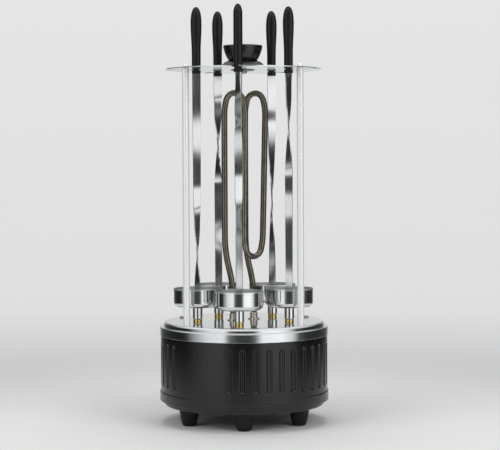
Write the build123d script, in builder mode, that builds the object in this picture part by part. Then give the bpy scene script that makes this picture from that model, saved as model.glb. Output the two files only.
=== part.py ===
from build123d import *
import math
import os

# An upright electric skewer grill. A motor in the drum turns five meshed gears, each gear turns a
# spindle, and each spindle turns a drip cup and the foot of a skewer around one standing heater.
# Three posts carry a notched disc, in which the skewers hang by their collars.
#
# Frame: +Z up, origin at the centre of the base on the floor, front towards -Y.
# Headings are in degrees from the front, positive towards +X.

os.makedirs("parts", exist_ok=True)

# ---------------------------------------------------------------- driving dimensions, mm and degrees

# Clearances
running = 0.06          # a shaft in its bush, on the radius
fit = 0.05              # a fixed piece in its hole, on the radius
seat_gap = 0.2          # between faces that turn or lift apart
slot_gap = 0.2          # a flat tang in its slot, on each side

# Base
foot_height = 23.0
foot_bottom_r = 8.5
foot_top_r = 13.0
foot_bulge = 0.7        # how far the side stands out from a straight cone
foot_edge_r = 2.5
foot_inset = 22.5       # from the cover's side in to the circle of feet
foot_count = 6
foot_spigot_r = 4.0
foot_spigot_height = 3.6
cover_inset = 6.2       # from the flange's edge in to the cover's side
cover_height = 6.0
cover_wall = 2.5
cover_edge_r = 1.8
flange_proud = 1.3      # how far the flange stands out past the drum
flange_height = 13.0
flange_edge_r = 1.2
upstand_height = 6.0
upstand_wall = 2.2
vent_count = 12
vent_circle_r = 56.0
vent_length = 24.0
vent_width = 4.0

# Drum
drum_r = 109.4
drum_height = 72.5      # the part that shows, from the flange to the lid
drum_wall = 1.2
flute_pitch = 9.0
flute_start = -10.0     # heading of the first flute; the rest follow at the pitch
flute_width = 8.2
flute_depth = 1.8
flute_bottom = 8.0      # from the flange up to a flute's lower end
flute_height = 56.0
label_heading = -32.5   # middle of the plain panel at the front
label_spread = 20.0     # no flute within this many degrees of it
inlet_heading = 179.0   # middle of the plain panel at the back, with the cord inlet
inlet_spread = 10.0

# Lid
lid_wall = 0.9
lid_slip = 0.2          # band around the drum, on the radius
band_height = 11.5
band_edge_r = 1.6
lid_step_inset = 3.9    # from the drum's side in to the step up to the plate
lid_rise = 6.2
shoulder_r = 4.4
lid_screw_inset = 14.5  # from the step in to the screws
lid_screw_headings = (-115.0, 115.0)
lid_screw_head_r = 3.6
lid_screw_head_height = 2.2

# Gear train and stations
station_r = 62.2
first_station = -5.4    # heading of the front station
gear_module = 1.5
gear_teeth = 48
pinion_teeth = 16
pressure_angle = 20.0
backlash = 0.24         # play between teeth, along the pitch circle
addendum = 0.9          # in modules
dedendum = 1.2
gear_width = 7.0
gear_hub_r = 9.0
gear_hub_height = 12.0
gear_rim = 6.0
gear_web = 3.0

# Deck inside the drum
pillar_height = 30.5
pillar_r = 5.0
pillar_inset = 16.5     # from the cover's side in to the pillars
pillar_headings = (-90.0, 30.0, 150.0)
deck_inset = 5.4        # from the drum's side in to the deck's edge
deck_wall = 2.0
deck_bush_r = 6.0
deck_bush_flange_r = 8.0
deck_bush_flange = 1.5
deck_bush_drop = 4.0    # how far the bush hangs below the deck
lid_pillar_r = 4.0
screw_r = 1.95
screw_length = 9.0
screw_head_r = 3.6
screw_head_height = 2.0
head_rounding = 0.6     # share of a pan head's height that is rounded
recess_depth = 0.5      # share of a pan head's height
recess_length = 1.1     # the cross recess, as shares of the head's radius
recess_width = 0.25
nut_width = 10.0
nut_height = 5.0
pillar_nut_width = 6.5
pillar_nut_height = 3.25
stud_r = 3.0
stud_drop = 6.5         # how far a stud stands out below the deck

# Motor and wiring
motor_r = 25.0
motor_height = 20.0
motor_edge_r = 2.0
gearbox_r = 18.0
gearbox_height = 5.0
motor_ear_r = 5.0
motor_ear_reach = 31.0
motor_ear_wall = 1.6
motor_screw_end = 1.0   # how far a motor screw stands out below its ear
motor_shaft_r = 3.0
motor_shaft_sunk = 12.0
block_size = (34.0, 16.0, 14.0)
block_edge_r = 1.5
block_heading = 180.0
block_r = 66.0
block_bore_r = 2.4
block_screw_pitch = 11.0
block_screw_r = 1.6
block_screw_head_r = 2.4
grommet_z = 66.0
grommet_r = 8.0
grommet_flange_r = 10.5
grommet_flange = 2.4
grommet_bore_r = 3.6
grommet_sag = 1.2       # how far the drum curves away across the grommet, with some to spare
grommet_gap = 0.3       # from the drum out to the grommet's outer flange

# Spindles, bushes and cups
spindle_r = 4.0
spindle_head_r = 5.1
spindle_head_height = 10.2
spindle_flats = 8.6     # across the two flats of the head
spindle_slot_depth = 8.0
bush_r = 5.75
bush_height = 3.8
bush_edge_r = 1.3
bush_neck_r = 5.1
bush_neck_drop = 6.0
stem_r = 6.3
stem_length = 15.8
stem_wall = 1.0
cup_r = 31.5
cup_height = 24.3
cup_wall = 0.8
cup_corner_r = 6.5
cup_lip = 0.5           # how far the rolled lip stands out
cup_lip_height = 1.6

# Posts and heater
post_r = 4.3
post_height = 327.8     # from the lid's plate to the shoulder under the disc
post_inset = 10.5       # from the lid's step in to the posts
post_headings = (-50.0, 50.0, -176.5)
post_spigot_r = 3.2
post_spigot_height = 5.2
post_spigot_edge_r = 1.9
heater_r = 4.0
heater_top = 430.0      # centre line of the upper loops
heater_turn = 217.0     # centre line of the lower loop
heater_bend_top = 222.0
heater_bend_bottom = 178.0
heater_end = 110.0
heater_loop_fall = 20.0         # height over which an upper loop draws in
heater_loop_inset = 0.18        # how far it draws in, as a share of its width
heater_bend_share = 0.48        # share of the shorter run beside a corner that its bend takes up
heater_left_foot = (-14.0, 3.0)
heater_left_leg = (-24.6, 0.0)
heater_front_leg_top = (2.8, -20.0)
heater_front_leg_low = (0.9, -20.0)
heater_right_leg_low = (25.0, 0.0)
heater_right_leg_top = (29.0, 0.0)
heater_rear_leg = (2.5, 20.0)
heater_rear_foot = (13.0, 21.0)
heater_bushing_r = 5.0
heater_bushing_height = 5.2
heater_flange_r = 7.8
heater_flange = 1.2
heater_neck_drop = 8.0
heater_nut_width = 15.0
heater_nut_height = 4.0
insulator_r = 3.6
insulator_height = 6.0
terminal_r = 1.3
terminal_length = 18.0

# Disc and knob
disc_overhang = 7.0     # how far the disc reaches past the posts
disc_wall = 1.2
notch_gap = 0.4         # a handle's neck in its notch, on the radius
washer_r = 16.0
washer_wall = 2.0
knob_height = 32.4
knob_r = 25.7
knob_neck_r = 18.4
knob_neck_height = 11.0
knob_bell_r = 23.2      # a point on the side, between neck and rim
knob_bell_height = 20.2
knob_edge = 1.2         # bevel at the rim
knob_base_r = 29.0
knob_base_edge = 2.0
knob_bulge_r = 25.8     # a point on the base's dome
knob_bulge_height = 7.0
knob_crown = 1.4        # how far the top is domed
knob_screw_r = 2.45
knob_screw_length = 22.0
knob_screw_head_r = 5.0
knob_screw_head_height = 3.0

# Skewers
blade_wall = 1.5
blade_foot_width = 9.0
blade_head_width = 11.3
blade_sections = 34
tang_width = 6.0
foot_tang_length = 7.0
head_tang_length = 42.0
collar_r = 5.75
collar_height = 5.0
collar_gap = 0.6        # from the collar up to the disc
neck_r = 4.0
grip_gap = 0.3          # from the disc up to the grip
grip_height = 79.8
grip_width = 11.7       # at the disc
grip_full_width = 14.4
grip_depth = 11.7
grip_waist_height = 20.0
grip_full_height = 56.5
grip_corner = 0.40      # corner radius as a share of the section's smaller side
grip_tip_power = 2.4    # how blunt the tip is
grip_depth_hold = 1.15  # how much longer the tip keeps its full depth than its full width
grip_steps = 5          # sections of the swell, and of the tip
grip_tip_steps = 9

# ---------------------------------------------------------------- levels and places that follow

cover_z = foot_height
cover_floor_z = cover_z + cover_wall
flange_z = cover_z + cover_height
drum_z = flange_z + flange_height
band_z = drum_z + drum_height
lid_step_z = band_z + band_height
plate_z = lid_step_z + lid_rise
plate_under_z = plate_z - lid_wall
deck_z = cover_floor_z + pillar_height
deck_top_z = deck_z + deck_wall
deck_bush_z = deck_top_z + deck_bush_flange
gear_hub_z = deck_bush_z + seat_gap
gear_z = gear_hub_z + (gear_hub_height - gear_width) / 2
bush_z = plate_z + bush_height
stem_z = bush_z + seat_gap
cup_z = stem_z + stem_length
shoulder_z = plate_z + post_height
disc_z = shoulder_z + seat_gap
disc_top_z = disc_z + disc_wall
collar_z = disc_z - collar_gap - collar_height
grip_z = disc_top_z + grip_gap
spindle_foot_z = deck_z - deck_bush_drop
slot_z = bush_z + seat_gap + spindle_head_height - spindle_slot_depth
blade_foot_z = slot_z + spindle_slot_depth + foot_tang_length / 2
tang_z = slot_z + seat_gap
blade_head_z = collar_z - seat_gap
band_r = drum_r + lid_slip + lid_wall

flange_r = drum_r + flange_proud
cover_r = flange_r - cover_inset
foot_circle_r = cover_r - foot_inset
pillar_circle_r = cover_r - pillar_inset
deck_r = drum_r - deck_inset
lid_step_r = drum_r - lid_step_inset
lid_screw_r = lid_step_r - lid_screw_inset
post_circle_r = lid_step_r - post_inset
disc_r = post_circle_r + disc_overhang

gear_pitch_r = gear_module * gear_teeth / 2
pinion_pitch_r = gear_module * pinion_teeth / 2
station_step = 2 * math.degrees(math.asin(gear_pitch_r / station_r))
station_names = ("front", "left", "rear_left", "rear_right", "right")
station_headings = {name: first_station - i * station_step for i, name in enumerate(station_names)}
driver = "rear_left"
pinion_r = station_r - gear_pitch_r - pinion_pitch_r

# Each blade is twisted by hand, up to half a turn, so each has its own facing and its twist lies
# at another height: facing above the twist, whole twist, middle of the twist and its length, the
# last two as shares of the blade's height.
blade_twists = {
    "front": (128.0, 110.0, 0.56, 1.20),
    "left": (0.0, 175.0, 0.24, 0.66),
    "rear_left": (0.0, 180.0, 0.70, 0.68),
    "rear_right": (8.0, 160.0, 0.47, 1.05),
    "right": (20.0, 160.0, 0.74, 0.70),
}
# How each skewer hangs at rest: the direction of its grip's width, in degrees from +X.
grip_facings = {"front": 90.0, "left": 0.0, "rear_left": 0.0, "rear_right": 0.0, "right": 0.0}


def spot(heading, radius):
    """Place on a circle about the origin."""
    angle = math.radians(heading)
    return (radius * math.sin(angle), -radius * math.cos(angle))


def spots(headings, radius, z):
    """Locations at one height on a circle about the origin."""
    return Locations(*[(*spot(heading, radius), z) for heading in headings])


def station_spot(name):
    return spot(station_headings[name], station_r)


def bar(radius, height):
    """Round bar that stands on its location."""
    return Cylinder(radius, height, align=(Align.CENTER, Align.CENTER, Align.MIN))


def bore(radius, height):
    """Round hole that starts at its location and goes up."""
    return Cylinder(radius, height, align=(Align.CENTER, Align.CENTER, Align.MIN), mode=Mode.SUBTRACT)


def hang(radius, height):
    """Round bar that hangs from its location."""
    return Cylinder(radius, height, align=(Align.CENTER, Align.CENTER, Align.MAX))


def drill(radius, height):
    """Round hole that starts at its location and goes down."""
    return Cylinder(radius, height, align=(Align.CENTER, Align.CENTER, Align.MAX), mode=Mode.SUBTRACT)


# ---------------------------------------------------------------- feet

with BuildPart() as foot:
    with BuildSketch(Plane.XZ):
        with BuildLine():
            side_middle = (
                (foot_bottom_r + foot_top_r) / 2 + foot_bulge,
                foot_height / 2,
            )
            Line((0, 0), (foot_bottom_r, 0))
            ThreePointArc((foot_bottom_r, 0), side_middle, (foot_top_r, foot_height))
            Line((foot_top_r, foot_height), (0, foot_height))
            Line((0, foot_height), (0, 0))
        make_face()
    revolve(axis=Axis.Z)
    fillet(foot.edges().filter_by(GeomType.CIRCLE).sort_by(Axis.Z)[0], foot_edge_r)
    with Locations((0, 0, foot_height)):
        bar(foot_spigot_r, foot_spigot_height)

with BuildPart() as feet:
    with PolarLocations(foot_circle_r, foot_count, start_angle=-90):
        add(foot.part)
feet.part.label = "feet"
export_step(feet.part, "parts/feet.step")

# ---------------------------------------------------------------- bottom cover

upstand_r = drum_r - drum_wall - fit
with BuildPart() as bottom_cover:
    with BuildSketch(Plane.XZ):
        with BuildLine():
            Polyline(
                (0, cover_z),
                (cover_r, cover_z),
                (cover_r, flange_z),
                (flange_r, flange_z),
                (flange_r, drum_z),
                (upstand_r, drum_z),
                (upstand_r, drum_z + upstand_height),
                (upstand_r - upstand_wall, drum_z + upstand_height),
                (upstand_r - upstand_wall, flange_z + cover_wall),
                (cover_r - cover_wall, flange_z + cover_wall),
                (cover_r - cover_wall, cover_floor_z),
                (0, cover_floor_z),
                close=True,
            )
        make_face()
    revolve(axis=Axis.Z)
    circles = bottom_cover.edges().filter_by(GeomType.CIRCLE)
    fillet(circles.filter_by(lambda e: abs(e.radius - cover_r) < fit).sort_by(Axis.Z)[0], cover_edge_r)
    circles = bottom_cover.edges().filter_by(GeomType.CIRCLE)
    fillet(circles.filter_by(lambda e: abs(e.radius - flange_r) < fit), flange_edge_r)
    with PolarLocations(foot_circle_r, foot_count, start_angle=-90):
        bore(foot_spigot_r + fit, cover_floor_z)
    with spots(pillar_headings, pillar_circle_r, 0):
        bore(screw_r + fit, cover_floor_z)
    with BuildSketch(Plane.XY.offset(cover_z)):
        with PolarLocations(vent_circle_r, vent_count):
            SlotOverall(vent_length, vent_width)
    extrude(amount=cover_wall, mode=Mode.SUBTRACT)
bottom_cover.part.label = "bottom_cover"
export_step(bottom_cover.part, "parts/bottom_cover.step")

# ---------------------------------------------------------------- drum


def far_from(heading, middle, spread):
    """True where a heading is outside a plain panel."""
    return abs((heading - middle + 180) % 360 - 180) > spread


all_flutes = [flute_start + i * flute_pitch for i in range(round(360 / flute_pitch))]
flutes = [
    heading
    for heading in all_flutes
    if far_from(heading, label_heading, label_spread) and far_from(heading, inlet_heading, inlet_spread)
]
flute_z = drum_z + flute_bottom + flute_height / 2
drum_top_z = lid_step_z - band_edge_r - fit      # clear of the rounding inside the lid's band


def flute_planes(radius):
    """Planes that stand upright on the drum, one at each flute, facing out."""
    return [
        Plane(
            origin=(*spot(heading, radius), flute_z),
            x_dir=(math.cos(math.radians(heading)), math.sin(math.radians(heading)), 0),
            z_dir=(*spot(heading, 1), 0),
        )
        for heading in flutes
    ]


flute_floor_r = drum_r - flute_depth
with BuildPart() as drum:
    with BuildSketch(Plane.XY.offset(drum_z)):
        Circle(drum_r)
        Circle(drum_r - drum_wall, mode=Mode.SUBTRACT)
    extrude(amount=drum_top_z - drum_z)
    with BuildSketch(*flute_planes(drum_r - drum_wall / 2)):
        SlotOverall(flute_height, flute_width + 2 * drum_wall, rotation=90)
    extrude(amount=-(flute_depth + drum_wall / 2))
    with BuildSketch(*flute_planes(flute_floor_r)):
        SlotOverall(flute_height - 2 * drum_wall, flute_width, rotation=90)
    extrude(amount=2 * flute_depth, mode=Mode.SUBTRACT)
    inlet = Plane(origin=(*spot(inlet_heading, drum_r), grommet_z), z_dir=(*spot(inlet_heading, 1), 0))
    with BuildSketch(inlet):
        Circle(grommet_r + fit)
    extrude(amount=2 * grommet_flange, both=True, mode=Mode.SUBTRACT)
drum.part.label = "drum_shell"
export_step(drum.part, "parts/drum_shell.step")

with BuildPart() as cord_grommet:
    grommet_in = drum_wall + grommet_sag
    for start, radius, length in (
        (grommet_gap, grommet_flange_r, grommet_flange),
        (-grommet_in, grommet_r, grommet_in + grommet_gap),
        (-grommet_in - grommet_flange, grommet_flange_r, grommet_flange),
    ):
        with BuildSketch(inlet.offset(start)):
            Circle(radius)
        extrude(amount=length)
    with BuildSketch(inlet.offset(-2 * grommet_flange - grommet_in)):
        Circle(grommet_bore_r)
    extrude(amount=4 * grommet_flange + grommet_in, mode=Mode.SUBTRACT)
cord_grommet.part.label = "cord_grommet"
export_step(cord_grommet.part, "parts/cord_grommet.step")

# ---------------------------------------------------------------- lid


def lid_form(inset):
    """Half section of the lid, drawn in from its outside by the inset."""
    band = band_r - inset
    step = lid_step_r - inset
    with BuildSketch(Plane.XZ) as section:
        with BuildLine():
            Polyline(
                (0, band_z),
                (band, band_z),
                (band, lid_step_z - inset),
                (step, lid_step_z - inset),
                (step, plate_z - inset),
                (0, plate_z - inset),
                close=True,
            )
        make_face()
        plate_edge = section.vertices().group_by(Axis.Y)[-1].sort_by(Axis.X)[-1]
        fillet(plate_edge, shoulder_r - inset)
        band_edge = section.vertices().group_by(Axis.X)[-1].sort_by(Axis.Y)[-1]
        fillet(band_edge, max(band_edge_r - inset, fit))
    return section.sketch


with BuildPart() as lid:
    add(lid_form(0))
    revolve(axis=Axis.Z)
    add(lid_form(lid_wall))
    revolve(axis=Axis.Z, mode=Mode.SUBTRACT)
    with Locations(*[(*station_spot(name), plate_z) for name in station_names]):
        drill(bush_neck_r + fit, 2 * lid_wall)
    with spots(post_headings, post_circle_r, plate_z):
        drill(post_r + fit, 2 * lid_wall)
    with spots(lid_screw_headings, lid_screw_r, plate_z):
        drill(screw_r + fit, 2 * lid_wall)
    with Locations((*heater_left_foot, plate_z), (*heater_rear_foot, plate_z)):
        drill(heater_bushing_r + fit, 2 * lid_wall)
lid.part.label = "lid"
export_step(lid.part, "parts/lid.step")

# ---------------------------------------------------------------- deck, pillars and fasteners


def pan_screw(head_r, head_height, shank_r, shank_length):
    """Pan-head screw along Z with the head's underside at the origin and the shank below."""
    with BuildPart() as screw:
        bar(head_r, head_height)
        fillet(screw.faces().sort_by(Axis.Z)[-1].edges(), head_height * head_rounding)
        hang(shank_r, shank_length)
        with BuildSketch(Plane.XY.offset(head_height)):
            Rectangle(head_r * recess_length, head_r * recess_width)
            Rectangle(head_r * recess_width, head_r * recess_length)
        extrude(amount=-head_height * recess_depth, mode=Mode.SUBTRACT)
    return screw.part


def hex_nut(width, height, bore_r):
    """Hexagon nut along Z that hangs from the origin."""
    with BuildPart() as nut:
        with BuildSketch():
            RegularPolygon(width / 2, 6, major_radius=False)
            Circle(bore_r, mode=Mode.SUBTRACT)
        extrude(amount=-height)
    return nut.part


motor_heading = station_headings[driver]
motor_spot = spot(motor_heading, pinion_r)
motor_across = (math.cos(math.radians(motor_heading)), math.sin(math.radians(motor_heading)))
ear_spots = [
    (motor_spot[0] + reach * motor_across[0], motor_spot[1] + reach * motor_across[1])
    for reach in (-motor_ear_reach, motor_ear_reach)
]

with BuildPart() as gear_deck:
    with Locations((0, 0, deck_z)):
        bar(deck_r, deck_wall)
    with Locations(*[(*station_spot(name), deck_z) for name in station_names]):
        bore(deck_bush_r + fit, deck_wall)
    with Locations((*motor_spot, deck_z)):
        bore(motor_shaft_r + 2 * seat_gap, deck_wall)
    with Locations(*[(*place, deck_z) for place in ear_spots]):
        bore(screw_r + fit, deck_wall)
    with spots(pillar_headings, pillar_circle_r, deck_z):
        bore(screw_r + fit, deck_wall)
    with spots(post_headings, post_circle_r, deck_z):
        bore(stud_r + fit, deck_wall)
    with spots(lid_screw_headings, lid_screw_r, deck_z):
        bore(screw_r + fit, deck_wall)
gear_deck.part.label = "gear_deck"
export_step(gear_deck.part, "parts/gear_deck.step")

with BuildPart() as deck_pillars:
    with spots(pillar_headings, pillar_circle_r, cover_floor_z):
        bar(pillar_r, pillar_height)
        bore(screw_r + fit, screw_length)
    with spots(pillar_headings, pillar_circle_r, deck_z):
        drill(screw_r + fit, screw_length)
deck_pillars.part.label = "deck_pillars"
export_step(deck_pillars.part, "parts/deck_pillars.step")

deck_screw = pan_screw(screw_head_r, screw_head_height, screw_r, screw_length)
with BuildPart() as deck_screws:
    with spots(pillar_headings, pillar_circle_r, deck_top_z):
        add(deck_screw)
deck_screws.part.label = "deck_screws"
export_step(deck_screws.part, "parts/deck_screws.step")

with BuildPart() as cover_screws:
    with Locations(Plane.XY.rotated((180, 0, 0)).offset(-cover_z)):
        with spots([-heading + 180 for heading in pillar_headings], pillar_circle_r, 0):
            add(deck_screw)
cover_screws.part.label = "cover_screws"
export_step(cover_screws.part, "parts/cover_screws.step")

with BuildPart() as lid_pillars:
    with spots(lid_screw_headings, lid_screw_r, deck_top_z):
        bar(lid_pillar_r, plate_under_z - deck_top_z)
        hang(screw_r, deck_wall + stud_drop)
    with spots(lid_screw_headings, lid_screw_r, plate_under_z):
        drill(screw_r + fit, screw_length)
lid_pillars.part.label = "lid_pillars"
export_step(lid_pillars.part, "parts/lid_pillars.step")

lid_screw = pan_screw(lid_screw_head_r, lid_screw_head_height, screw_r, screw_length)
with BuildPart() as lid_screws:
    with spots(lid_screw_headings, lid_screw_r, plate_z):
        add(lid_screw)
lid_screws.part.label = "lid_screws"
export_step(lid_screws.part, "parts/lid_screws.step")

# ---------------------------------------------------------------- posts

with BuildPart() as post:
    with Locations((0, 0, deck_top_z)):
        bar(post_r, shoulder_z - deck_top_z)
        hang(stud_r, deck_wall + stud_drop)
    with Locations((0, 0, shoulder_z)):
        bar(post_spigot_r, post_spigot_height)
    fillet(post.faces().sort_by(Axis.Z)[-1].edges(), post_spigot_edge_r)

with BuildPart() as posts:
    with spots(post_headings, post_circle_r, 0):
        add(post.part)
posts.part.label = "posts"
export_step(posts.part, "parts/posts.step")

post_nut = hex_nut(nut_width, nut_height, stud_r + fit)
pillar_nut = hex_nut(pillar_nut_width, pillar_nut_height, screw_r + fit)
with BuildPart() as deck_nuts:
    with spots(post_headings, post_circle_r, deck_z):
        add(post_nut)
    with spots(lid_screw_headings, lid_screw_r, deck_z):
        add(pillar_nut)
deck_nuts.part.label = "deck_nuts"
export_step(deck_nuts.part, "parts/deck_nuts.step")

# ---------------------------------------------------------------- gears


def involute(angle):
    return math.tan(angle) - angle


def half_tooth(radius, teeth):
    """Half the angle that a tooth takes up at a radius, in radians."""
    pitch_r = gear_module * teeth / 2
    base_r = pitch_r * math.cos(math.radians(pressure_angle))
    flank = math.acos(base_r / max(radius, base_r))
    at_pitch = math.pi / (2 * teeth) - backlash / (4 * pitch_r)
    return at_pitch + involute(math.radians(pressure_angle)) - involute(flank)


def gear_points(teeth, phase):
    """Outline of a spur gear about the origin; the phase in degrees is where a tooth stands."""
    pitch_r = gear_module * teeth / 2
    root_r = pitch_r - dedendum * gear_module
    tip_r = pitch_r + addendum * gear_module
    points = []
    for tooth in range(teeth):
        middle = math.radians(phase) + tooth * 2 * math.pi / teeth
        for side, radii in ((-1, (root_r, pitch_r, tip_r)), (1, (tip_r, pitch_r, root_r))):
            for radius in radii:
                angle = middle + side * half_tooth(radius, teeth)
                points.append((radius * math.cos(angle), radius * math.sin(angle)))
    return points


def meshed_phase(phase_a, teeth_a, teeth_b, towards_b):
    """Phase of gear B that puts it in mesh with gear A; towards_b is the direction from A to B."""
    pitch_a = 360 / teeth_a
    pitch_b = 360 / teeth_b
    past_tooth = (towards_b - phase_a) % pitch_a
    return towards_b + 180 + past_tooth * teeth_a / teeth_b - pitch_b / 2


def direction(start, end):
    return math.degrees(math.atan2(end[1] - start[1], end[0] - start[0]))


gear_phase = {driver: 0.0}
driver_place = station_names.index(driver)
outward = list(range(driver_place - 1, -1, -1)) + list(range(driver_place + 1, len(station_names)))
for place in outward:
    name = station_names[place]
    neighbour = station_names[place + 1 if place < driver_place else place - 1]
    towards = direction(station_spot(neighbour), station_spot(name))
    gear_phase[name] = meshed_phase(gear_phase[neighbour], gear_teeth, gear_teeth, towards)

for name in station_names:
    with BuildPart() as gear:
        with BuildSketch(Plane.XY.offset(gear_z)):
            with BuildLine():
                Polyline(*gear_points(gear_teeth, gear_phase[name]), close=True)
            make_face()
        extrude(amount=gear_width)
        web_r = gear_pitch_r - dedendum * gear_module - gear_rim
        with BuildSketch(Plane.XY.offset(gear_z)):
            Circle(web_r)
        extrude(amount=(gear_width - gear_web) / 2, mode=Mode.SUBTRACT)
        with BuildSketch(Plane.XY.offset(gear_z + gear_width)):
            Circle(web_r)
        extrude(amount=-(gear_width - gear_web) / 2, mode=Mode.SUBTRACT)
        with Locations((0, 0, gear_hub_z)):
            bar(gear_hub_r, gear_hub_height)
            bore(spindle_r + fit, gear_hub_height)
    with BuildPart() as placed_gear:
        with Locations((*station_spot(name), 0)):
            add(gear.part)
    placed_gear.part.label = f"gear_{name}"
    export_step(placed_gear.part, f"parts/gear_{name}.step")

pinion_phase = meshed_phase(
    gear_phase[driver], gear_teeth, pinion_teeth, direction(station_spot(driver), motor_spot)
)
with BuildPart() as pinion:
    pinion_plane = Plane(origin=(*motor_spot, gear_hub_z), x_dir=(1, 0, 0), z_dir=(0, 0, 1))
    with BuildSketch(pinion_plane):
        with BuildLine():
            Polyline(*gear_points(pinion_teeth, pinion_phase), close=True)
        make_face()
    extrude(amount=gear_hub_height)
    with Locations((*motor_spot, gear_hub_z)):
        bore(motor_shaft_r + fit, gear_hub_height)
pinion.part.label = "motor_pinion"
export_step(pinion.part, "parts/motor_pinion.step")

# ---------------------------------------------------------------- motor

with BuildPart() as motor_shaft:
    with Locations((*motor_spot, deck_z - motor_shaft_sunk)):
        bar(motor_shaft_r, motor_shaft_sunk + gear_hub_z + gear_hub_height - deck_z)
motor_shaft.part.label = "motor_shaft"
export_step(motor_shaft.part, "parts/motor_shaft.step")

with BuildPart() as motor:
    with Locations((*motor_spot, deck_z - gearbox_height)):
        bar(gearbox_r, gearbox_height)
    with Locations((*motor_spot, deck_z - gearbox_height - motor_height)):
        bar(motor_r, motor_height)
    motor_rims = motor.edges().filter_by(GeomType.CIRCLE)
    fillet(motor_rims.filter_by(lambda e: abs(e.radius - motor_r) < fit), motor_edge_r)
    ear_origin = (*motor_spot, deck_z - motor_ear_wall)
    ear_plane = Plane(origin=ear_origin, x_dir=(*motor_across, 0), z_dir=(0, 0, 1))
    with BuildSketch(ear_plane):
        SlotCenterToCenter(2 * motor_ear_reach, 2 * motor_ear_r)
    extrude(amount=motor_ear_wall)
    with Locations(*[(*place, deck_z) for place in ear_spots]):
        drill(screw_r + fit, motor_ear_wall)
    with Locations((*motor_spot, deck_z)):
        drill(motor_shaft_r + running, motor_shaft_sunk)
motor.part.label = "motor"
export_step(motor.part, "parts/motor.step")

motor_screw_length = deck_wall + motor_ear_wall + motor_screw_end
motor_screw = pan_screw(screw_head_r, screw_head_height, screw_r, motor_screw_length)
with BuildPart() as motor_screws:
    with Locations(*[(*place, deck_top_z) for place in ear_spots]):
        add(motor_screw)
motor_screws.part.label = "motor_screws"
export_step(motor_screws.part, "parts/motor_screws.step")

# ---------------------------------------------------------------- terminal block

block_spot = spot(block_heading, block_r)
block_top_z = cover_floor_z + block_size[2]
block_ways = [(block_spot[0] + side * block_screw_pitch, block_spot[1]) for side in (-1, 0, 1)]
with BuildPart() as terminal_block:
    with Locations((*block_spot, cover_floor_z)):
        Box(*block_size, align=(Align.CENTER, Align.CENTER, Align.MIN))
    fillet(terminal_block.edges().filter_by(Axis.Z), block_edge_r)
    with BuildSketch(Plane.XZ.offset(-block_spot[1] + block_size[1] / 2)):
        with Locations(*[(x, cover_floor_z + block_size[2] / 3) for x, y in block_ways]):
            Circle(block_bore_r)
    extrude(amount=-block_size[1], mode=Mode.SUBTRACT)
    with Locations(*[(x, y, block_top_z) for x, y in block_ways]):
        drill(block_screw_r + fit, block_size[2] / 2)
terminal_block.part.label = "terminal_block"
export_step(terminal_block.part, "parts/terminal_block.step")

block_screw = pan_screw(block_screw_head_r, block_screw_head_r / 2, block_screw_r, block_size[2] / 3)
with BuildPart() as terminal_screws:
    with Locations(*[(x, y, block_top_z) for x, y in block_ways]):
        add(block_screw)
terminal_screws.part.label = "terminal_screws"
export_step(terminal_screws.part, "parts/terminal_screws.step")

# ---------------------------------------------------------------- bushes

with BuildPart() as deck_bushes:
    with Locations(*[(*station_spot(name), deck_z - deck_bush_drop) for name in station_names]):
        bar(deck_bush_r, deck_bush_drop + deck_wall)
    with Locations(*[(*station_spot(name), deck_top_z) for name in station_names]):
        bar(deck_bush_flange_r, deck_bush_flange)
    with Locations(*[(*station_spot(name), deck_z - deck_bush_drop) for name in station_names]):
        bore(spindle_r + running, deck_bush_z - deck_z + deck_bush_drop)
deck_bushes.part.label = "deck_bushes"
export_step(deck_bushes.part, "parts/deck_bushes.step")

with BuildPart() as brass_bush:
    with Locations((0, 0, plate_z)):
        bar(bush_r, bush_height)
    fillet(brass_bush.faces().sort_by(Axis.Z)[-1].edges(), bush_edge_r)
    with Locations((0, 0, plate_z)):
        hang(bush_neck_r, bush_neck_drop)
    with Locations((0, 0, plate_z - bush_neck_drop)):
        bore(spindle_r + running, bush_neck_drop + bush_height)

with BuildPart() as brass_bushes:
    with Locations(*[(*station_spot(name), 0) for name in station_names]):
        add(brass_bush.part)
brass_bushes.part.label = "brass_bushes"
export_step(brass_bushes.part, "parts/brass_bushes.step")

# ---------------------------------------------------------------- spindles and cups


def blade_facing(name, height):
    """Facing of a blade at a height, as an angle in degrees of its width from +X."""
    facing, turn, middle, length = blade_twists[name]
    share = (height - blade_foot_z) / (blade_head_z - blade_foot_z)
    along = min(max((middle - share) / length + 0.5, 0), 1)
    return facing + turn * along * along * (3 - 2 * along)


def flatted_circle(radius, flats):
    """Circle with two flats, its long way along X."""
    Circle(radius)
    Rectangle(2 * radius, flats, mode=Mode.INTERSECT)


with BuildPart() as cup_hollow:
    with Locations((0, 0, cup_z + cup_wall)):
        bar(cup_r - cup_lip - cup_wall, cup_height)
    fillet(cup_hollow.faces().sort_by(Axis.Z)[0].edges(), cup_corner_r - cup_wall)

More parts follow.
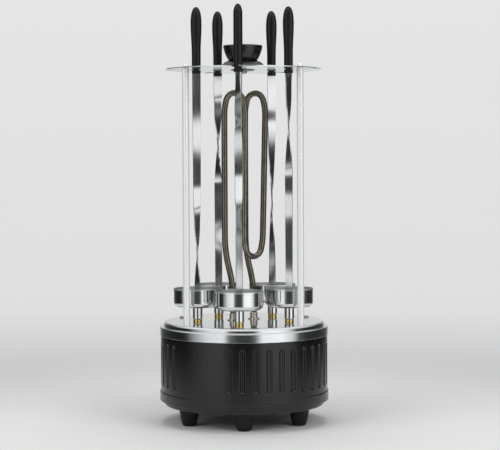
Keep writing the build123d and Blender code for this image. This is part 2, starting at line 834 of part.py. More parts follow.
for name in station_names:
    foot_facing = blade_facing(name, blade_foot_z)

    with BuildPart() as spindle:
        with Locations((0, 0, spindle_foot_z)):
            bar(spindle_r, bush_z + seat_gap - spindle_foot_z)
        with BuildSketch(Plane.XY.offset(bush_z + seat_gap)):
            flatted_circle(spindle_head_r, spindle_flats)
        extrude(amount=spindle_head_height)
        with BuildSketch(Plane.XY.offset(slot_z)):
            Rectangle(tang_width + 2 * slot_gap, blade_wall + 2 * slot_gap)
        extrude(amount=spindle_slot_depth, mode=Mode.SUBTRACT)
    with BuildPart() as placed_spindle:
        with Locations(Location((*station_spot(name), 0), (0, 0, foot_facing))):
            add(spindle.part)
    placed_spindle.part.label = f"spindle_{name}"
    export_step(placed_spindle.part, f"parts/spindle_{name}.step")

    with BuildPart() as cup:
        with Locations((0, 0, cup_z)):
            bar(cup_r - cup_lip, cup_height)
        fillet(cup.faces().sort_by(Axis.Z)[0].edges(), cup_corner_r)
        with Locations((0, 0, cup_z + cup_height - cup_lip_height)):
            bar(cup_r, cup_lip_height)
        add(cup_hollow.part, mode=Mode.SUBTRACT)
        with Locations((0, 0, stem_z)):
            bar(stem_r, stem_length + cup_wall)
        with BuildSketch(Plane.XY.offset(stem_z)):
            flatted_circle(stem_r - stem_wall, spindle_flats + 2 * slot_gap)
        extrude(amount=spindle_head_height, mode=Mode.SUBTRACT)
        with Locations((0, 0, stem_z + spindle_head_height)):
            bore(stem_r - stem_wall, stem_length + cup_wall)
    with BuildPart() as placed_cup:
        with Locations(Location((*station_spot(name), 0), (0, 0, foot_facing))):
            add(cup.part)
    placed_cup.part.label = f"cup_{name}"
    export_step(placed_cup.part, f"parts/cup_{name}.step")

# ---------------------------------------------------------------- skewers


def blade_width(height):
    """Width of a blade, which widens from the cup up to the handle."""
    share = (height - blade_foot_z) / (blade_head_z - blade_foot_z)
    return blade_foot_width + (blade_head_width - blade_foot_width) * share


for name in station_names:
    with BuildPart() as blade:
        for i in range(blade_sections + 1):
            height = blade_foot_z + (blade_head_z - blade_foot_z) * i / blade_sections
            with BuildSketch(Plane.XY.offset(height)):
                Rectangle(blade_width(height), blade_wall, rotation=blade_facing(name, height))
        loft(ruled=True)
        with BuildSketch(Plane.XY.offset(tang_z)):
            Rectangle(tang_width, blade_wall, rotation=blade_facing(name, blade_foot_z))
        extrude(amount=blade_foot_z - tang_z)
        with BuildSketch(Plane.XY.offset(blade_head_z)):
            Rectangle(tang_width, blade_wall, rotation=blade_facing(name, blade_head_z))
        extrude(amount=head_tang_length)
    with BuildPart() as placed_blade:
        with Locations((*station_spot(name), 0)):
            add(blade.part)
    placed_blade.part.label = f"blade_{name}"
    export_step(placed_blade.part, f"parts/blade_{name}.step")


def grip_share(height):
    """Share of the full section that the tip still has at a height above the disc."""
    above = max(height - grip_full_height, 0) / (grip_height - grip_full_height)
    return (1 - above**grip_tip_power) ** (1 / grip_tip_power)


def grip_size(height):
    """Width and depth of the grip at a height above the disc."""
    along = min(max((height - grip_waist_height) / (grip_full_height - grip_waist_height), 0), 1)
    width = grip_width + (grip_full_width - grip_width) * along * along * (3 - 2 * along)
    depth = grip_depth * min(1, grip_share(height) * grip_depth_hold)
    return width * grip_share(height), depth


grip_swell = grip_full_height - grip_waist_height
grip_tip = grip_height - grip_full_height
grip_heights = [0]
grip_heights += [grip_waist_height + grip_swell * i / grip_steps for i in range(grip_steps)]
tip_angles = [math.pi / 2 * i / grip_tip_steps for i in range(grip_tip_steps)]
grip_heights += [grip_full_height + grip_tip * math.sin(angle) for angle in tip_angles]
for name in station_names:
    with BuildPart() as handle:
        for height in grip_heights:
            width, depth = grip_size(height)
            with BuildSketch(Plane.XY.offset(grip_z + height)):
                RectangleRounded(width, depth, grip_corner * min(width, depth))
        loft(ruled=True)
        with Locations((0, 0, collar_z + collar_height)):
            bar(neck_r, grip_z - collar_z - collar_height)
        with Locations((0, 0, collar_z)):
            bar(collar_r, collar_height)
        tang_turn = blade_facing(name, blade_head_z) - grip_facings[name]
        with BuildSketch(Plane.XY.offset(collar_z)):
            Rectangle(tang_width + 2 * fit, blade_wall + 2 * fit, rotation=tang_turn)
        extrude(amount=head_tang_length, mode=Mode.SUBTRACT)
    with BuildPart() as placed_handle:
        with Locations(Location((*station_spot(name), 0), (0, 0, grip_facings[name]))):
            add(handle.part)
    placed_handle.part.label = f"handle_{name}"
    export_step(placed_handle.part, f"parts/handle_{name}.step")

# ---------------------------------------------------------------- heater


def loop_corners(start, end, sweep_z, fall):
    """Four corners of a drawn-in loop between two upright legs, whose ends are (x, y)."""
    span = (end[0] - start[0], end[1] - start[1])
    inner = (heater_loop_inset, 1 - heater_loop_inset)
    across = [(start[0] + share * span[0], start[1] + share * span[1]) for share in inner]
    leg_z = sweep_z - fall
    return [(*start, leg_z), (*across[0], sweep_z), (*across[1], sweep_z), (*end, leg_z)]


heater_corners = [
    (*heater_left_foot, heater_bend_bottom),
    (*heater_left_leg, heater_bend_top),
    *loop_corners(heater_left_leg, heater_front_leg_top, heater_top, heater_loop_fall),
    *loop_corners(heater_front_leg_low, heater_right_leg_low, heater_turn, -heater_loop_fall),
    *loop_corners(heater_right_leg_top, heater_rear_leg, heater_top, heater_loop_fall),
    (*heater_rear_leg, heater_bend_top),
    (*heater_rear_foot, heater_bend_bottom),
]
heater_points = [(*heater_left_foot, heater_end), *heater_corners, (*heater_rear_foot, heater_end)]


def corner_radius(before, corner, after):
    """Radius of the bend that takes up its share of the shorter run beside a corner."""
    inward = Vector(*corner) - Vector(*before)
    outward = Vector(*after) - Vector(*corner)
    turn = math.radians(inward.get_angle(outward))
    return heater_bend_share * min(inward.length, outward.length) / math.tan(turn / 2)


heater_radii = [corner_radius(*heater_points[i - 1 : i + 2]) for i in range(1, len(heater_points) - 1)]
with BuildPart() as heater_tube:
    with BuildLine() as heater_path:
        FilletPolyline(*heater_points, radius=heater_radii)
    with BuildSketch(Plane.XY.offset(heater_end)):
        with Locations(heater_left_foot):
            Circle(heater_r)
    sweep(path=heater_path.wires()[0])
heater_tube.part.label = "heater_tube"
export_step(heater_tube.part, "parts/heater_tube.step")
print("heater bend radii", [round(radius, 1) for radius in heater_radii])
print("heater volume over section times length",
      round(heater_tube.part.volume / (math.pi * heater_r**2 * heater_path.wires()[0].length), 4))

heater_feet = (heater_left_foot, heater_rear_foot)
with BuildPart() as heater_bushings:
    with Locations(*[(*place, plate_z) for place in heater_feet]):
        bar(heater_bushing_r, heater_bushing_height)
        bar(heater_flange_r, heater_flange)
        hang(heater_bushing_r, heater_neck_drop)
    with Locations(*[(*place, plate_z - heater_neck_drop) for place in heater_feet]):
        bore(heater_r + fit, heater_neck_drop + heater_bushing_height)
heater_bushings.part.label = "heater_bushings"
export_step(heater_bushings.part, "parts/heater_bushings.step")

heater_nut = hex_nut(heater_nut_width, heater_nut_height, heater_bushing_r + fit)
with BuildPart() as heater_nuts:
    with Locations(*[(*place, plate_under_z) for place in heater_feet]):
        add(heater_nut)
heater_nuts.part.label = "heater_nuts"
export_step(heater_nuts.part, "parts/heater_nuts.step")

with BuildPart() as heater_insulators:
    with Locations(*[(*place, heater_end) for place in heater_feet]):
        hang(insulator_r, insulator_height)
        drill(terminal_r + fit, insulator_height)
heater_insulators.part.label = "heater_insulators"
export_step(heater_insulators.part, "parts/heater_insulators.step")

with BuildPart() as heater_terminals:
    with Locations(*[(*place, heater_end) for place in heater_feet]):
        hang(terminal_r, terminal_length)
heater_terminals.part.label = "heater_terminals"
export_step(heater_terminals.part, "parts/heater_terminals.step")

# ---------------------------------------------------------------- disc and knob

with BuildPart() as top_disc:
    with BuildSketch(Plane.XY.offset(disc_z)):
        Circle(disc_r)
        Circle(knob_screw_r + fit, mode=Mode.SUBTRACT)
        with Locations(*[spot(heading, post_circle_r) for heading in post_headings]):
            Circle(post_spigot_r + seat_gap, mode=Mode.SUBTRACT)
        for name in station_names:
            notch_r = neck_r + notch_gap
            with Locations(station_spot(name)):
                Circle(notch_r, mode=Mode.SUBTRACT)
            with Locations(Location((*station_spot(name), 0), (0, 0, station_headings[name] - 90))):
                Rectangle(disc_r, 2 * notch_r, align=(Align.MIN, Align.CENTER), mode=Mode.SUBTRACT)
    extrude(amount=disc_wall)
top_disc.part.label = "top_disc"
export_step(top_disc.part, "parts/top_disc.step")

with BuildPart() as disc_washer:
    with Locations((0, 0, disc_z)):
        hang(washer_r, washer_wall)
        drill(knob_screw_r + fit, washer_wall)
disc_washer.part.label = "disc_washer"
export_step(disc_washer.part, "parts/disc_washer.step")

knob_top_z = disc_top_z + knob_height
with BuildPart() as knob:
    with BuildSketch(Plane.XZ):
        with BuildLine():
            base = (knob_base_r, disc_top_z + knob_base_edge)
            base_bulge = (knob_bulge_r, disc_top_z + knob_bulge_height)
            neck = (knob_neck_r, disc_top_z + knob_neck_height)
            bell = (knob_bell_r, disc_top_z + knob_bell_height)
            rim = (knob_r, knob_top_z - knob_crown - knob_edge)
            crown_edge = (knob_r - knob_edge, knob_top_z - knob_crown)
            Line((0, disc_top_z), (knob_base_r, disc_top_z))
            Line((knob_base_r, disc_top_z), base)
            ThreePointArc(base, base_bulge, neck)
            ThreePointArc(neck, bell, rim)
            Line(rim, crown_edge)
            TangentArc((0, knob_top_z), crown_edge, tangent=(1, 0))
            Line((0, knob_top_z), (0, disc_top_z))
        make_face()
    revolve(axis=Axis.Z)
    with Locations((0, 0, disc_top_z)):
        bore(knob_screw_r + fit, knob_screw_length)
knob.part.label = "knob"
export_step(knob.part, "parts/knob.step")

with BuildPart() as knob_screw:
    with Locations(Plane.XY.rotated((180, 0, 0)).offset(-(disc_z - washer_wall))):
        add(pan_screw(knob_screw_head_r, knob_screw_head_height, knob_screw_r, knob_screw_length))
knob_screw.part.label = "knob_screw"
export_step(knob_screw.part, "parts/knob_screw.step")
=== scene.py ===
import math

import bpy
from mathutils import Matrix, Vector


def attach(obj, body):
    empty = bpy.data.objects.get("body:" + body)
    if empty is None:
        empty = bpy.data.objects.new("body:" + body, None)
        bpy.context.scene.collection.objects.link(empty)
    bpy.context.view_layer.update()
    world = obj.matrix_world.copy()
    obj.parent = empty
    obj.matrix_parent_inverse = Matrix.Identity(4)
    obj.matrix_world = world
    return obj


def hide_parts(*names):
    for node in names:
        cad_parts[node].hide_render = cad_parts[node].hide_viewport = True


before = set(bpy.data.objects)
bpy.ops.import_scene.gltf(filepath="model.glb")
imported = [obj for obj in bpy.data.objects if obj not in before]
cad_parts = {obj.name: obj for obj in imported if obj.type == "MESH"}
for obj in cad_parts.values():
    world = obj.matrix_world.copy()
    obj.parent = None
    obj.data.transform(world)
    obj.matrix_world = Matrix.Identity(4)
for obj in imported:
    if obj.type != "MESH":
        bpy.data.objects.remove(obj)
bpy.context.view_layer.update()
scene = bpy.context.scene

# ---------------------------------------------------------------- camera
# The photograph is taken from the front with a long lens, from a little below the top disc, so
# the disc shows its underside and the lid shows its plate.

LENS_PX = 1625.0                # focal length in pixels of the 500 pixel wide photograph
PHOTO_WIDTH_PX = 500.0
SENSOR_MM = 36.0
CAMERA_RIGHT = 0.0088           # the object stands a little to the left of the middle
CAMERA_AWAY = 2.129
CAMERA_HEIGHT = 0.353
CAMERA_PITCH = 2.566            # degrees below level
CAMERA_ROLL = 0.25

bpy.ops.object.select_all(action="DESELECT")
bpy.ops.object.camera_add(
    location=(CAMERA_RIGHT, -CAMERA_AWAY, CAMERA_HEIGHT),
    rotation=(math.radians(90 - CAMERA_PITCH), math.radians(CAMERA_ROLL), 0),
)
camera = bpy.context.object
camera.name = "photo_camera"
camera.data.sensor_width = SENSOR_MM
camera.data.lens = LENS_PX / PHOTO_WIDTH_PX * SENSOR_MM
camera.data.clip_start = 0.01
camera.data.clip_end = 50.0
scene.camera = camera

# ---------------------------------------------------------------- feet
# Six tapered feet, moulded in black plastic. Each has a slightly bulging side, a rounded sole
# and a spigot on top, which is pressed into the bottom cover.


def linear(code):
    """Linear colour with full alpha from an sRGB hex code."""
    shares = [int(code[i : i + 2], 16) / 255 for i in (0, 2, 4)]
    return [s / 12.92 if s <= 0.04045 else ((s + 0.055) / 1.055) ** 2.4 for s in shares] + [1.0]


def add_node(tree, kind, inputs=None, **settings):
    """Adds a node with its settings; each input is given a value or the output that feeds it."""
    added = tree.nodes.new(kind)
    for name, value in settings.items():
        setattr(added, name, value)
    for socket, source in (inputs or {}).items():
        if isinstance(source, bpy.types.NodeSocket):
            tree.links.new(source, added.inputs[socket])
        else:
            added.inputs[socket].default_value = source
    return added


def finish(name, metallic=0.0, **sockets):
    """A principled material; its other constant inputs are given by name with _ for a space."""
    material = bpy.data.materials.new(name)
    material.use_nodes = True
    shader = material.node_tree.nodes["Principled BSDF"]
    shader.inputs["Metallic"].default_value = metallic
    for socket, value in sockets.items():
        shader.inputs[socket.replace("_", " ")].default_value = value
    return material


def grain(material, size_mm, colours, roughness, depth_mm, attribute=None):
    """Grain all over a finish: its size along X, Y and Z, its two colours, its least and greatest
    roughness and its depth. It follows Object coordinates, or an attribute of the piece."""
    tree = material.node_tree
    shader = tree.nodes["Principled BSDF"]
    if attribute:
        place = add_node(tree, "ShaderNodeAttribute", attribute_name=attribute).outputs["Vector"]
    else:
        place = add_node(tree, "ShaderNodeTexCoord").outputs["Object"]
    repeats = [1000 / size for size in size_mm]
    mapping = add_node(tree, "ShaderNodeMapping", {"Vector": place, "Scale": repeats})
    noise = add_node(tree, "ShaderNodeTexNoise", {"Vector": mapping.outputs[0], "Scale": 1.0, "Detail": 3.0})
    shades = add_node(tree, "ShaderNodeValToRGB", {"Fac": noise.outputs["Fac"]})
    for stop, position, colour in zip(shades.color_ramp.elements, (0.35, 0.65), colours):
        stop.position = position
        stop.color = linear(colour)
    least, most = roughness
    span = {"Value": noise.outputs["Fac"], "From Min": 0.3, "From Max": 0.7, "To Min": least, "To Max": most}
    gloss = add_node(tree, "ShaderNodeMapRange", span)
    bump = add_node(tree, "ShaderNodeBump", {"Height": noise.outputs["Fac"], "Distance": depth_mm / 1000})
    tree.links.new(shades.outputs["Color"], shader.inputs["Base Color"])
    tree.links.new(gloss.outputs["Result"], shader.inputs["Roughness"])
    tree.links.new(bump.outputs["Normal"], shader.inputs["Normal"])
    return material


def dress(piece, material):
    """Gives a piece one material all over."""
    piece.data.materials.clear()
    piece.data.materials.append(material)


def select_where(piece, test):
    """In edit mode, selects only the vertices whose place passes the test."""
    bpy.ops.mesh.select_mode(type="VERT")
    bpy.ops.mesh.select_all(action="DESELECT")
    bpy.ops.object.mode_set(mode="OBJECT")
    for vertex in piece.data.vertices:
        vertex.select = test(vertex.co)
    bpy.ops.object.mode_set(mode="EDIT")


def arc_through(start, middle, end, steps):
    """Points of the circle through three points, from after the start up to the end."""
    first, through, last = Vector(start), Vector(middle), Vector(end)
    chords = Matrix((through - first, last - first))
    squares = Vector([point.length_squared - first.length_squared for point in (through, last)])
    centre = chords.inverted() @ (squares / 2)
    turn = -(first - centre).angle_signed(last - centre)
    return [centre + Matrix.Rotation(turn * i / steps, 2) @ (first - centre) for i in range(1, steps + 1)]


def smoothed(piece, angle=32):
    """Smooth shading up to an angle, with broad faces kept flat beside narrow rounded edges."""
    bpy.ops.object.select_all(action="DESELECT")
    piece.select_set(True)
    bpy.context.view_layer.objects.active = piece
    bpy.ops.object.shade_smooth_by_angle(angle=math.radians(angle))
    weighted = piece.modifiers.new("weighted", "WEIGHTED_NORMAL")
    weighted.keep_sharp = True
    bpy.ops.object.modifier_apply(modifier=weighted.name)
    return piece


def turned(name, profile, steps=128, closed=False):
    """A piece turned about Z from points of a radius, a height and, where a corner is rounded, its
    rounding. The attribute lathe holds each vertex's radius and height, for marks that go round."""
    bpy.ops.object.select_all(action="DESELECT")
    bpy.ops.mesh.primitive_circle_add(vertices=3, radius=0.001, location=(0, 0, 0))
    piece = bpy.context.object
    piece.name = name
    bpy.ops.object.mode_set(mode="EDIT")
    bpy.ops.mesh.select_mode(type="VERT")
    bpy.ops.mesh.select_all(action="SELECT")
    bpy.ops.mesh.merge(type="CENTER")
    bpy.ops.transform.translate(value=(profile[0][0], 0, profile[0][1]))
    outline = [*profile, profile[0]] if closed else profile
    for before, after in zip(outline, outline[1:]):
        step = (after[0] - before[0], 0, after[1] - before[1])
        bpy.ops.mesh.extrude_region_move(TRANSFORM_OT_translate={"value": step})
    bpy.ops.mesh.select_all(action="SELECT")
    bpy.ops.mesh.remove_doubles(threshold=1e-6)
    for point in profile:
        if len(point) == 3:
            corner = Vector((point[0], 0, point[1]))
            select_where(piece, lambda place: (place - corner).length < 1e-5)
            bpy.ops.mesh.bevel(offset=point[2], segments=6, affect="VERTICES", offset_type="OFFSET")
    bpy.ops.mesh.select_all(action="SELECT")
    bpy.ops.mesh.spin(steps=steps, angle=2 * math.pi, center=(0, 0, 0), axis=(0, 0, 1))
    bpy.ops.mesh.select_all(action="SELECT")
    bpy.ops.mesh.remove_doubles(threshold=1e-6)
    bpy.ops.mesh.normals_make_consistent(inside=False)
    bpy.ops.object.mode_set(mode="OBJECT")
    marks = piece.data.attributes.new("lathe", "FLOAT_VECTOR", "POINT")
    for vertex, mark in zip(piece.data.vertices, marks.data):
        mark.vector = (math.hypot(vertex.co.x, vertex.co.y), 0, vertex.co.z)
    return smoothed(piece)


def copied(piece, name, place=(0, 0, 0), turn=0.0):
    """A copy of a piece with its own mesh, turned about Z by degrees and then moved."""
    twin = piece.copy()
    twin.data = piece.data.copy()
    twin.name = name
    twin.data.transform(Matrix.Translation(place) @ Matrix.Rotation(math.radians(turn), 4, "Z"))
    scene.collection.objects.link(twin)
    return twin


def repeated(piece, name, places):
    """The piece repeated at each place and made one."""
    twins = [copied(piece, name, place) for place in places]
    bpy.data.objects.remove(piece)
    bpy.ops.object.select_all(action="DESELECT")
    for twin in twins:
        twin.select_set(True)
    bpy.context.view_layer.objects.active = twins[0]
    bpy.ops.object.join()
    return twins[0]


def spot(heading, radius, height=0.0):
    """Place on a circle about the origin; a heading is in degrees from the front, towards +X."""
    angle = math.radians(heading)
    return Vector((radius * math.sin(angle), -radius * math.cos(angle), height))


COVER_Z = 0.023
SOLE_R = 0.0085
SOLE_ROUNDING = 0.0024
FOOT_MIDDLE_R = 0.01145         # halfway up the bulging side
FOOT_TOP_R = 0.013
FOOT_CIRCLE_R = 0.082
FOOT_COUNT = 6
SPIGOT_R = 0.004
SPIGOT_TOP_Z = 0.0266

foot_side = arc_through((SOLE_R, 0), (FOOT_MIDDLE_R, COVER_Z / 2), (FOOT_TOP_R, COVER_Z), 6)
foot = turned(
    "foot",
    [
        (0, 0),
        (SOLE_R, 0, SOLE_ROUNDING),
        *[tuple(point) for point in foot_side[:-1]],
        (FOOT_TOP_R, COVER_Z, 0.0004),
        (SPIGOT_R, COVER_Z),
        (SPIGOT_R, SPIGOT_TOP_Z),
        (0, SPIGOT_TOP_Z),
    ],
    steps=64,
)
feet = repeated(foot, "moulded_feet", [spot(i * 360 / FOOT_COUNT, FOOT_CIRCLE_R) for i in range(FOOT_COUNT)])

# Moulded plastic with a fine spark-eroded texture: deep black, with a dull broad sheen.
moulded_black = grain(
    finish("moulded_black_plastic", Specular_IOR_Level=0.35),
    (0.9, 0.9, 0.9), ("0b0b0c", "121213"), (0.44, 0.56), 0.02,
)
dress(feet, moulded_black)
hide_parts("feet")
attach(feet, "base")

# ---------------------------------------------------------------- bottom cover
# A pressed steel dish with a standing flange, which carries the drum, and radial air slots in
# its floor. It is enamelled black with the drum and screwed up into the pillars.

COVER_R = 0.1045
COVER_WALL = 0.0025
COVER_ROUNDING = 0.0018
FLANGE_R = 0.1107
FLANGE_ROUNDING = 0.0012
FLANGE_Z = 0.029
DRUM_Z = 0.042
UPSTAND_R = 0.10815
UPSTAND_WALL = 0.0022
UPSTAND_TOP_Z = 0.048
VENT_COUNT = 12
VENT_CIRCLE_R = 0.056
VENT_LENGTH = 0.024
VENT_WIDTH = 0.004
CUTTER_HEIGHT = 0.02            # past both sides of any sheet here

cover = turned(
    "pressed_cover",
    [
        (0, COVER_Z),
        (COVER_R, COVER_Z, COVER_ROUNDING),
        (COVER_R, FLANGE_Z, 0.0004),
        (FLANGE_R, FLANGE_Z, FLANGE_ROUNDING),
        (FLANGE_R, DRUM_Z, FLANGE_ROUNDING),
        (UPSTAND_R, DRUM_Z),
        (UPSTAND_R, UPSTAND_TOP_Z),
        (UPSTAND_R - UPSTAND_WALL, UPSTAND_TOP_Z),
        (UPSTAND_R - UPSTAND_WALL, FLANGE_Z + COVER_WALL),
        (COVER_R - COVER_WALL, FLANGE_Z + COVER_WALL),
        (COVER_R - COVER_WALL, COVER_Z + COVER_WALL),
        (0, COVER_Z + COVER_WALL),
    ],
    steps=256,
)


def cut(piece, cutter):
    """Cuts one piece with another, which is then gone."""
    bpy.ops.object.select_all(action="DESELECT")
    bpy.context.view_layer.objects.active = piece
    boolean = piece.modifiers.new("cut", "BOOLEAN")
    boolean.operation = "DIFFERENCE"
    boolean.object = cutter
    bpy.ops.object.modifier_apply(modifier=boolean.name)
    bpy.data.objects.remove(cutter)


def block(name, size, rounding):
    """A block about the origin whose upright edges are rounded, for slots and bodies."""
    bpy.ops.object.select_all(action="DESELECT")
    bpy.ops.mesh.primitive_plane_add(size=1, location=(0, 0, 0))
    made = bpy.context.object
    made.name = name
    bpy.ops.object.mode_set(mode="EDIT")
    bpy.ops.mesh.select_all(action="SELECT")
    bpy.ops.transform.resize(value=(size[0], size[1], 1), center_override=(0, 0, 0))
    bpy.ops.mesh.bevel(offset=rounding, segments=6, affect="VERTICES", offset_type="OFFSET")
    bpy.ops.mesh.select_all(action="SELECT")
    bpy.ops.transform.translate(value=(0, 0, -size[2] / 2))
    bpy.ops.mesh.extrude_region_move(TRANSFORM_OT_translate={"value": (0, 0, size[2])})
    bpy.ops.mesh.select_all(action="SELECT")
    bpy.ops.mesh.normals_make_consistent(inside=False)
    bpy.ops.object.mode_set(mode="OBJECT")
    return made


vent = block("vent", (VENT_WIDTH, VENT_LENGTH, CUTTER_HEIGHT), VENT_WIDTH * 0.49)
vents = [
    copied(vent, "vent_cut", spot(i * 360 / VENT_COUNT, VENT_CIRCLE_R, COVER_Z), i * 360 / VENT_COUNT)
    for i in range(VENT_COUNT)
]
bpy.data.objects.remove(vent)
for vent_cut in vents:
    cut(cover, vent_cut)

# Stoved enamel on steel: near black, even, with a satin sheen and a trace of orange peel.
black_enamel = grain(
    finish("black_stoved_enamel"),
    (1.6, 1.6, 1.6), ("080809", "0c0c0d"), (0.18, 0.23), 0.003,
)
dress(cover, black_enamel)
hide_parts("bottom_cover")
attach(cover, "base")

# ---------------------------------------------------------------- drum
# Thin sheet steel rolled into a drum. Upright flutes with round ends are pressed into it all
# round, except for a plain panel at the front left and one at the back for the cord inlet.

DRUM_R = 0.1094
DRUM_WALL = 0.0012
DRUM_TOP_Z = 0.12435
FLUTE_PITCH = 9.0
FLUTE_START = -10.0
PANELS = ((-32.5, 20.0), (179.0, 10.0))
FLUTE_LOW_Z = 0.0541            # middles of the round ends
FLUTE_HIGH_Z = 0.1019
FLUTE_FLOOR = 0.0018            # half the width of the flat floor
FLUTE_SIDE = 0.0024
FLUTE_DEPTH = 0.0022
COLUMNS = 960
INLET_HEADING = 179.0
INLET_Z = 0.066
INLET_HOLE_R = 0.0095
# heights of the drum's bands, with the rows of faces in each: close rows where the flutes end
ROW_BANDS = ((0.006, 2), (0.014, 15), (0.032, 9), (0.014, 15), (DRUM_TOP_Z - DRUM_Z - 0.066, 4))

bpy.ops.object.select_all(action="DESELECT")
bpy.ops.mesh.primitive_circle_add(vertices=COLUMNS, radius=DRUM_R, location=(0, 0, DRUM_Z))
drum = bpy.context.object
drum.name = "enamelled_drum"
bpy.ops.object.transform_apply(location=True, rotation=False, scale=False)
bpy.ops.object.mode_set(mode="EDIT")
bpy.ops.mesh.select_all(action="SELECT")
for span, rows in ROW_BANDS:
    for i in range(rows):
        bpy.ops.mesh.extrude_region_move(TRANSFORM_OT_translate={"value": (0, 0, span / rows)})
past_column = (FLUTE_START * COLUMNS / 360) % 1 * 360 / COLUMNS
bpy.ops.mesh.select_all(action="SELECT")
bpy.ops.transform.rotate(value=-math.radians(past_column), orient_axis="Z", center_override=(0, 0, 0))
for i in range(round(360 / FLUTE_PITCH)):
    heading = FLUTE_START + i * FLUTE_PITCH
    if any(abs((heading - middle + 180) % 360 - 180) <= spread for middle, spread in PANELS):
        continue
    low_end = spot(heading, DRUM_R, FLUTE_LOW_Z)
    select_where(
        drum,
        lambda place: (
            place - low_end - Vector((0, 0, min(max(place.z - FLUTE_LOW_Z, 0), FLUTE_HIGH_Z - FLUTE_LOW_Z)))
        ).length < FLUTE_FLOOR,
    )
    bpy.ops.transform.translate(
        value=spot(heading, -FLUTE_DEPTH),
        use_proportional_edit=True,
        proportional_edit_falloff="SMOOTH",
        proportional_size=FLUTE_SIDE,
    )
inlet_middle = spot(INLET_HEADING, DRUM_R, INLET_Z)
select_where(drum, lambda place: (place - inlet_middle).length < INLET_HOLE_R)
bpy.ops.mesh.delete(type="VERT")
bpy.ops.mesh.select_all(action="SELECT")
bpy.ops.mesh.normals_make_consistent(inside=False)
bpy.ops.object.mode_set(mode="OBJECT")
solid = drum.modifiers.new("sheet", "SOLIDIFY")
solid.thickness = DRUM_WALL
solid.offset = -1
bpy.ops.object.modifier_apply(modifier=solid.name)
smoothed(drum, 60)
dress(drum, black_enamel)
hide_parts("drum_shell")
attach(drum, "base")

# ---------------------------------------------------------------- cord inlet
# A black rubber grommet, snapped into the hole at the back of the drum, with a flange on each
# side of the sheet. The cord would pass through its bore.

INLET_BORE_R = 0.0036
SLEEVE_R = 0.008
GROMMET_R = 0.0105
GROMMET_FLANGE = 0.0024
SLEEVE_DEPTH = 0.0024
GROMMET_LIFT = 0.0003           # from the drum's face to the outer flange
GROMMET_TAPER = 0.0012

grommet = turned(
    "rubber_grommet",
    [
        (INLET_BORE_R, -SLEEVE_DEPTH - GROMMET_FLANGE, 0.0006),
        (GROMMET_R, -SLEEVE_DEPTH - GROMMET_FLANGE, 0.0006),
        (GROMMET_R, -SLEEVE_DEPTH, 0.0003),
        (SLEEVE_R, -SLEEVE_DEPTH),
        (SLEEVE_R, GROMMET_LIFT),
        (GROMMET_R, GROMMET_LIFT, 0.0003),
        (GROMMET_R - GROMMET_TAPER, GROMMET_LIFT + GROMMET_FLANGE, 0.001),
        (INLET_BORE_R, GROMMET_LIFT + GROMMET_FLANGE, 0.0008),
    ],
    steps=96,
    closed=True,
)
outward = spot(INLET_HEADING, 1.0).to_track_quat("Z", "Y").to_matrix().to_4x4()
grommet.data.transform(Matrix.Translation(inlet_middle) @ outward)
# Soft black rubber: dull charcoal with a faint bloom.
rubber = grain(finish("black_grommet_rubber"), (0.7, 0.7, 0.7), ("141516", "1e1f20"), (0.62, 0.78), 0.02)
dress(grommet, rubber)
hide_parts("cord_grommet")
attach(grommet, "base")

# ---------------------------------------------------------------- lid
# One deep-drawn stainless sheet: a band that slips over the drum, a step, a rounded shoulder
# and a flat plate. It is polished on the lathe, so its fine marks go round.

BAND_R = 0.1105
BAND_Z = 0.1145
STEP_R = 0.1055
STEP_Z = 0.126
PLATE_Z = 0.1322
LID_WALL = 0.0009
LID_SHOULDER = 0.0044           # rounding from the step up to the plate
BAND_ROUNDING = 0.0016

lid = turned(
    "polished_lid",
    [
        (0, PLATE_Z),
        (STEP_R, PLATE_Z, LID_SHOULDER),
        (STEP_R, STEP_Z, 0.0005),
        (BAND_R, STEP_Z, BAND_ROUNDING),
        (BAND_R, BAND_Z, 0.0003),
        (BAND_R - LID_WALL, BAND_Z),
        (BAND_R - LID_WALL, STEP_Z - LID_WALL, BAND_ROUNDING - LID_WALL),
        (STEP_R - LID_WALL, STEP_Z - LID_WALL),
        (STEP_R - LID_WALL, PLATE_Z - LID_WALL, LID_SHOULDER - LID_WALL),
        (0, PLATE_Z - LID_WALL),
    ],
    steps=288,
)
# Bright stainless steel with turning marks: a cool near-white metal whose highlights smear
# across the marks. The marks are drawn 0.8 mm apart, coarser than real ones, so that they show.
turned_stainless = grain(
    finish("lathe_polished_stainless", metallic=1.0, Anisotropic=0.35),
    (0.8, 400, 0.8), ("d4d5d6", "e2e3e4"), (0.08, 0.14), 0.003, attribute="lathe",
)
tangent = add_node(turned_stainless.node_tree, "ShaderNodeTangent", direction_type="RADIAL", axis="Z")
turned_stainless.node_tree.links.new(
    tangent.outputs[0], turned_stainless.node_tree.nodes["Principled BSDF"].inputs["Tangent"]
)
dress(lid, turned_stainless)
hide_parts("lid")
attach(lid, "base")

# ---------------------------------------------------------------- screws, nuts, deck and pillars
# Zinc plated steel hardware: screws with cross slots, the deck and its pillars, the nuts, the
# motor's case and the spindles. All but the lid screws sit inside the drum.

# Bright zinc plate: a cool grey metal with a faint cloudy spangle.
zinc = grain(
    finish("bright_zinc_plate", metallic=1.0),
    (2.5, 2.5, 2.5), ("9b9fa4", "b9bcc0"), (0.26, 0.38), 0.01,
)
ZINC_NODES = (
    "lid_screws", "gear_deck", "deck_pillars", "deck_screws", "cover_screws", "lid_pillars", "deck_nuts",
    "motor", "motor_screws", "motor_shaft", "knob_screw", "heater_nuts", "heater_terminals",
)
for node in ZINC_NODES:
    dress(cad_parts[node], zinc)

# ---------------------------------------------------------------- posts
# Three round aluminium posts, drawn, satin anodised and turned down to a stud below and to a
# round-ended spigot on top, on which the disc drops.

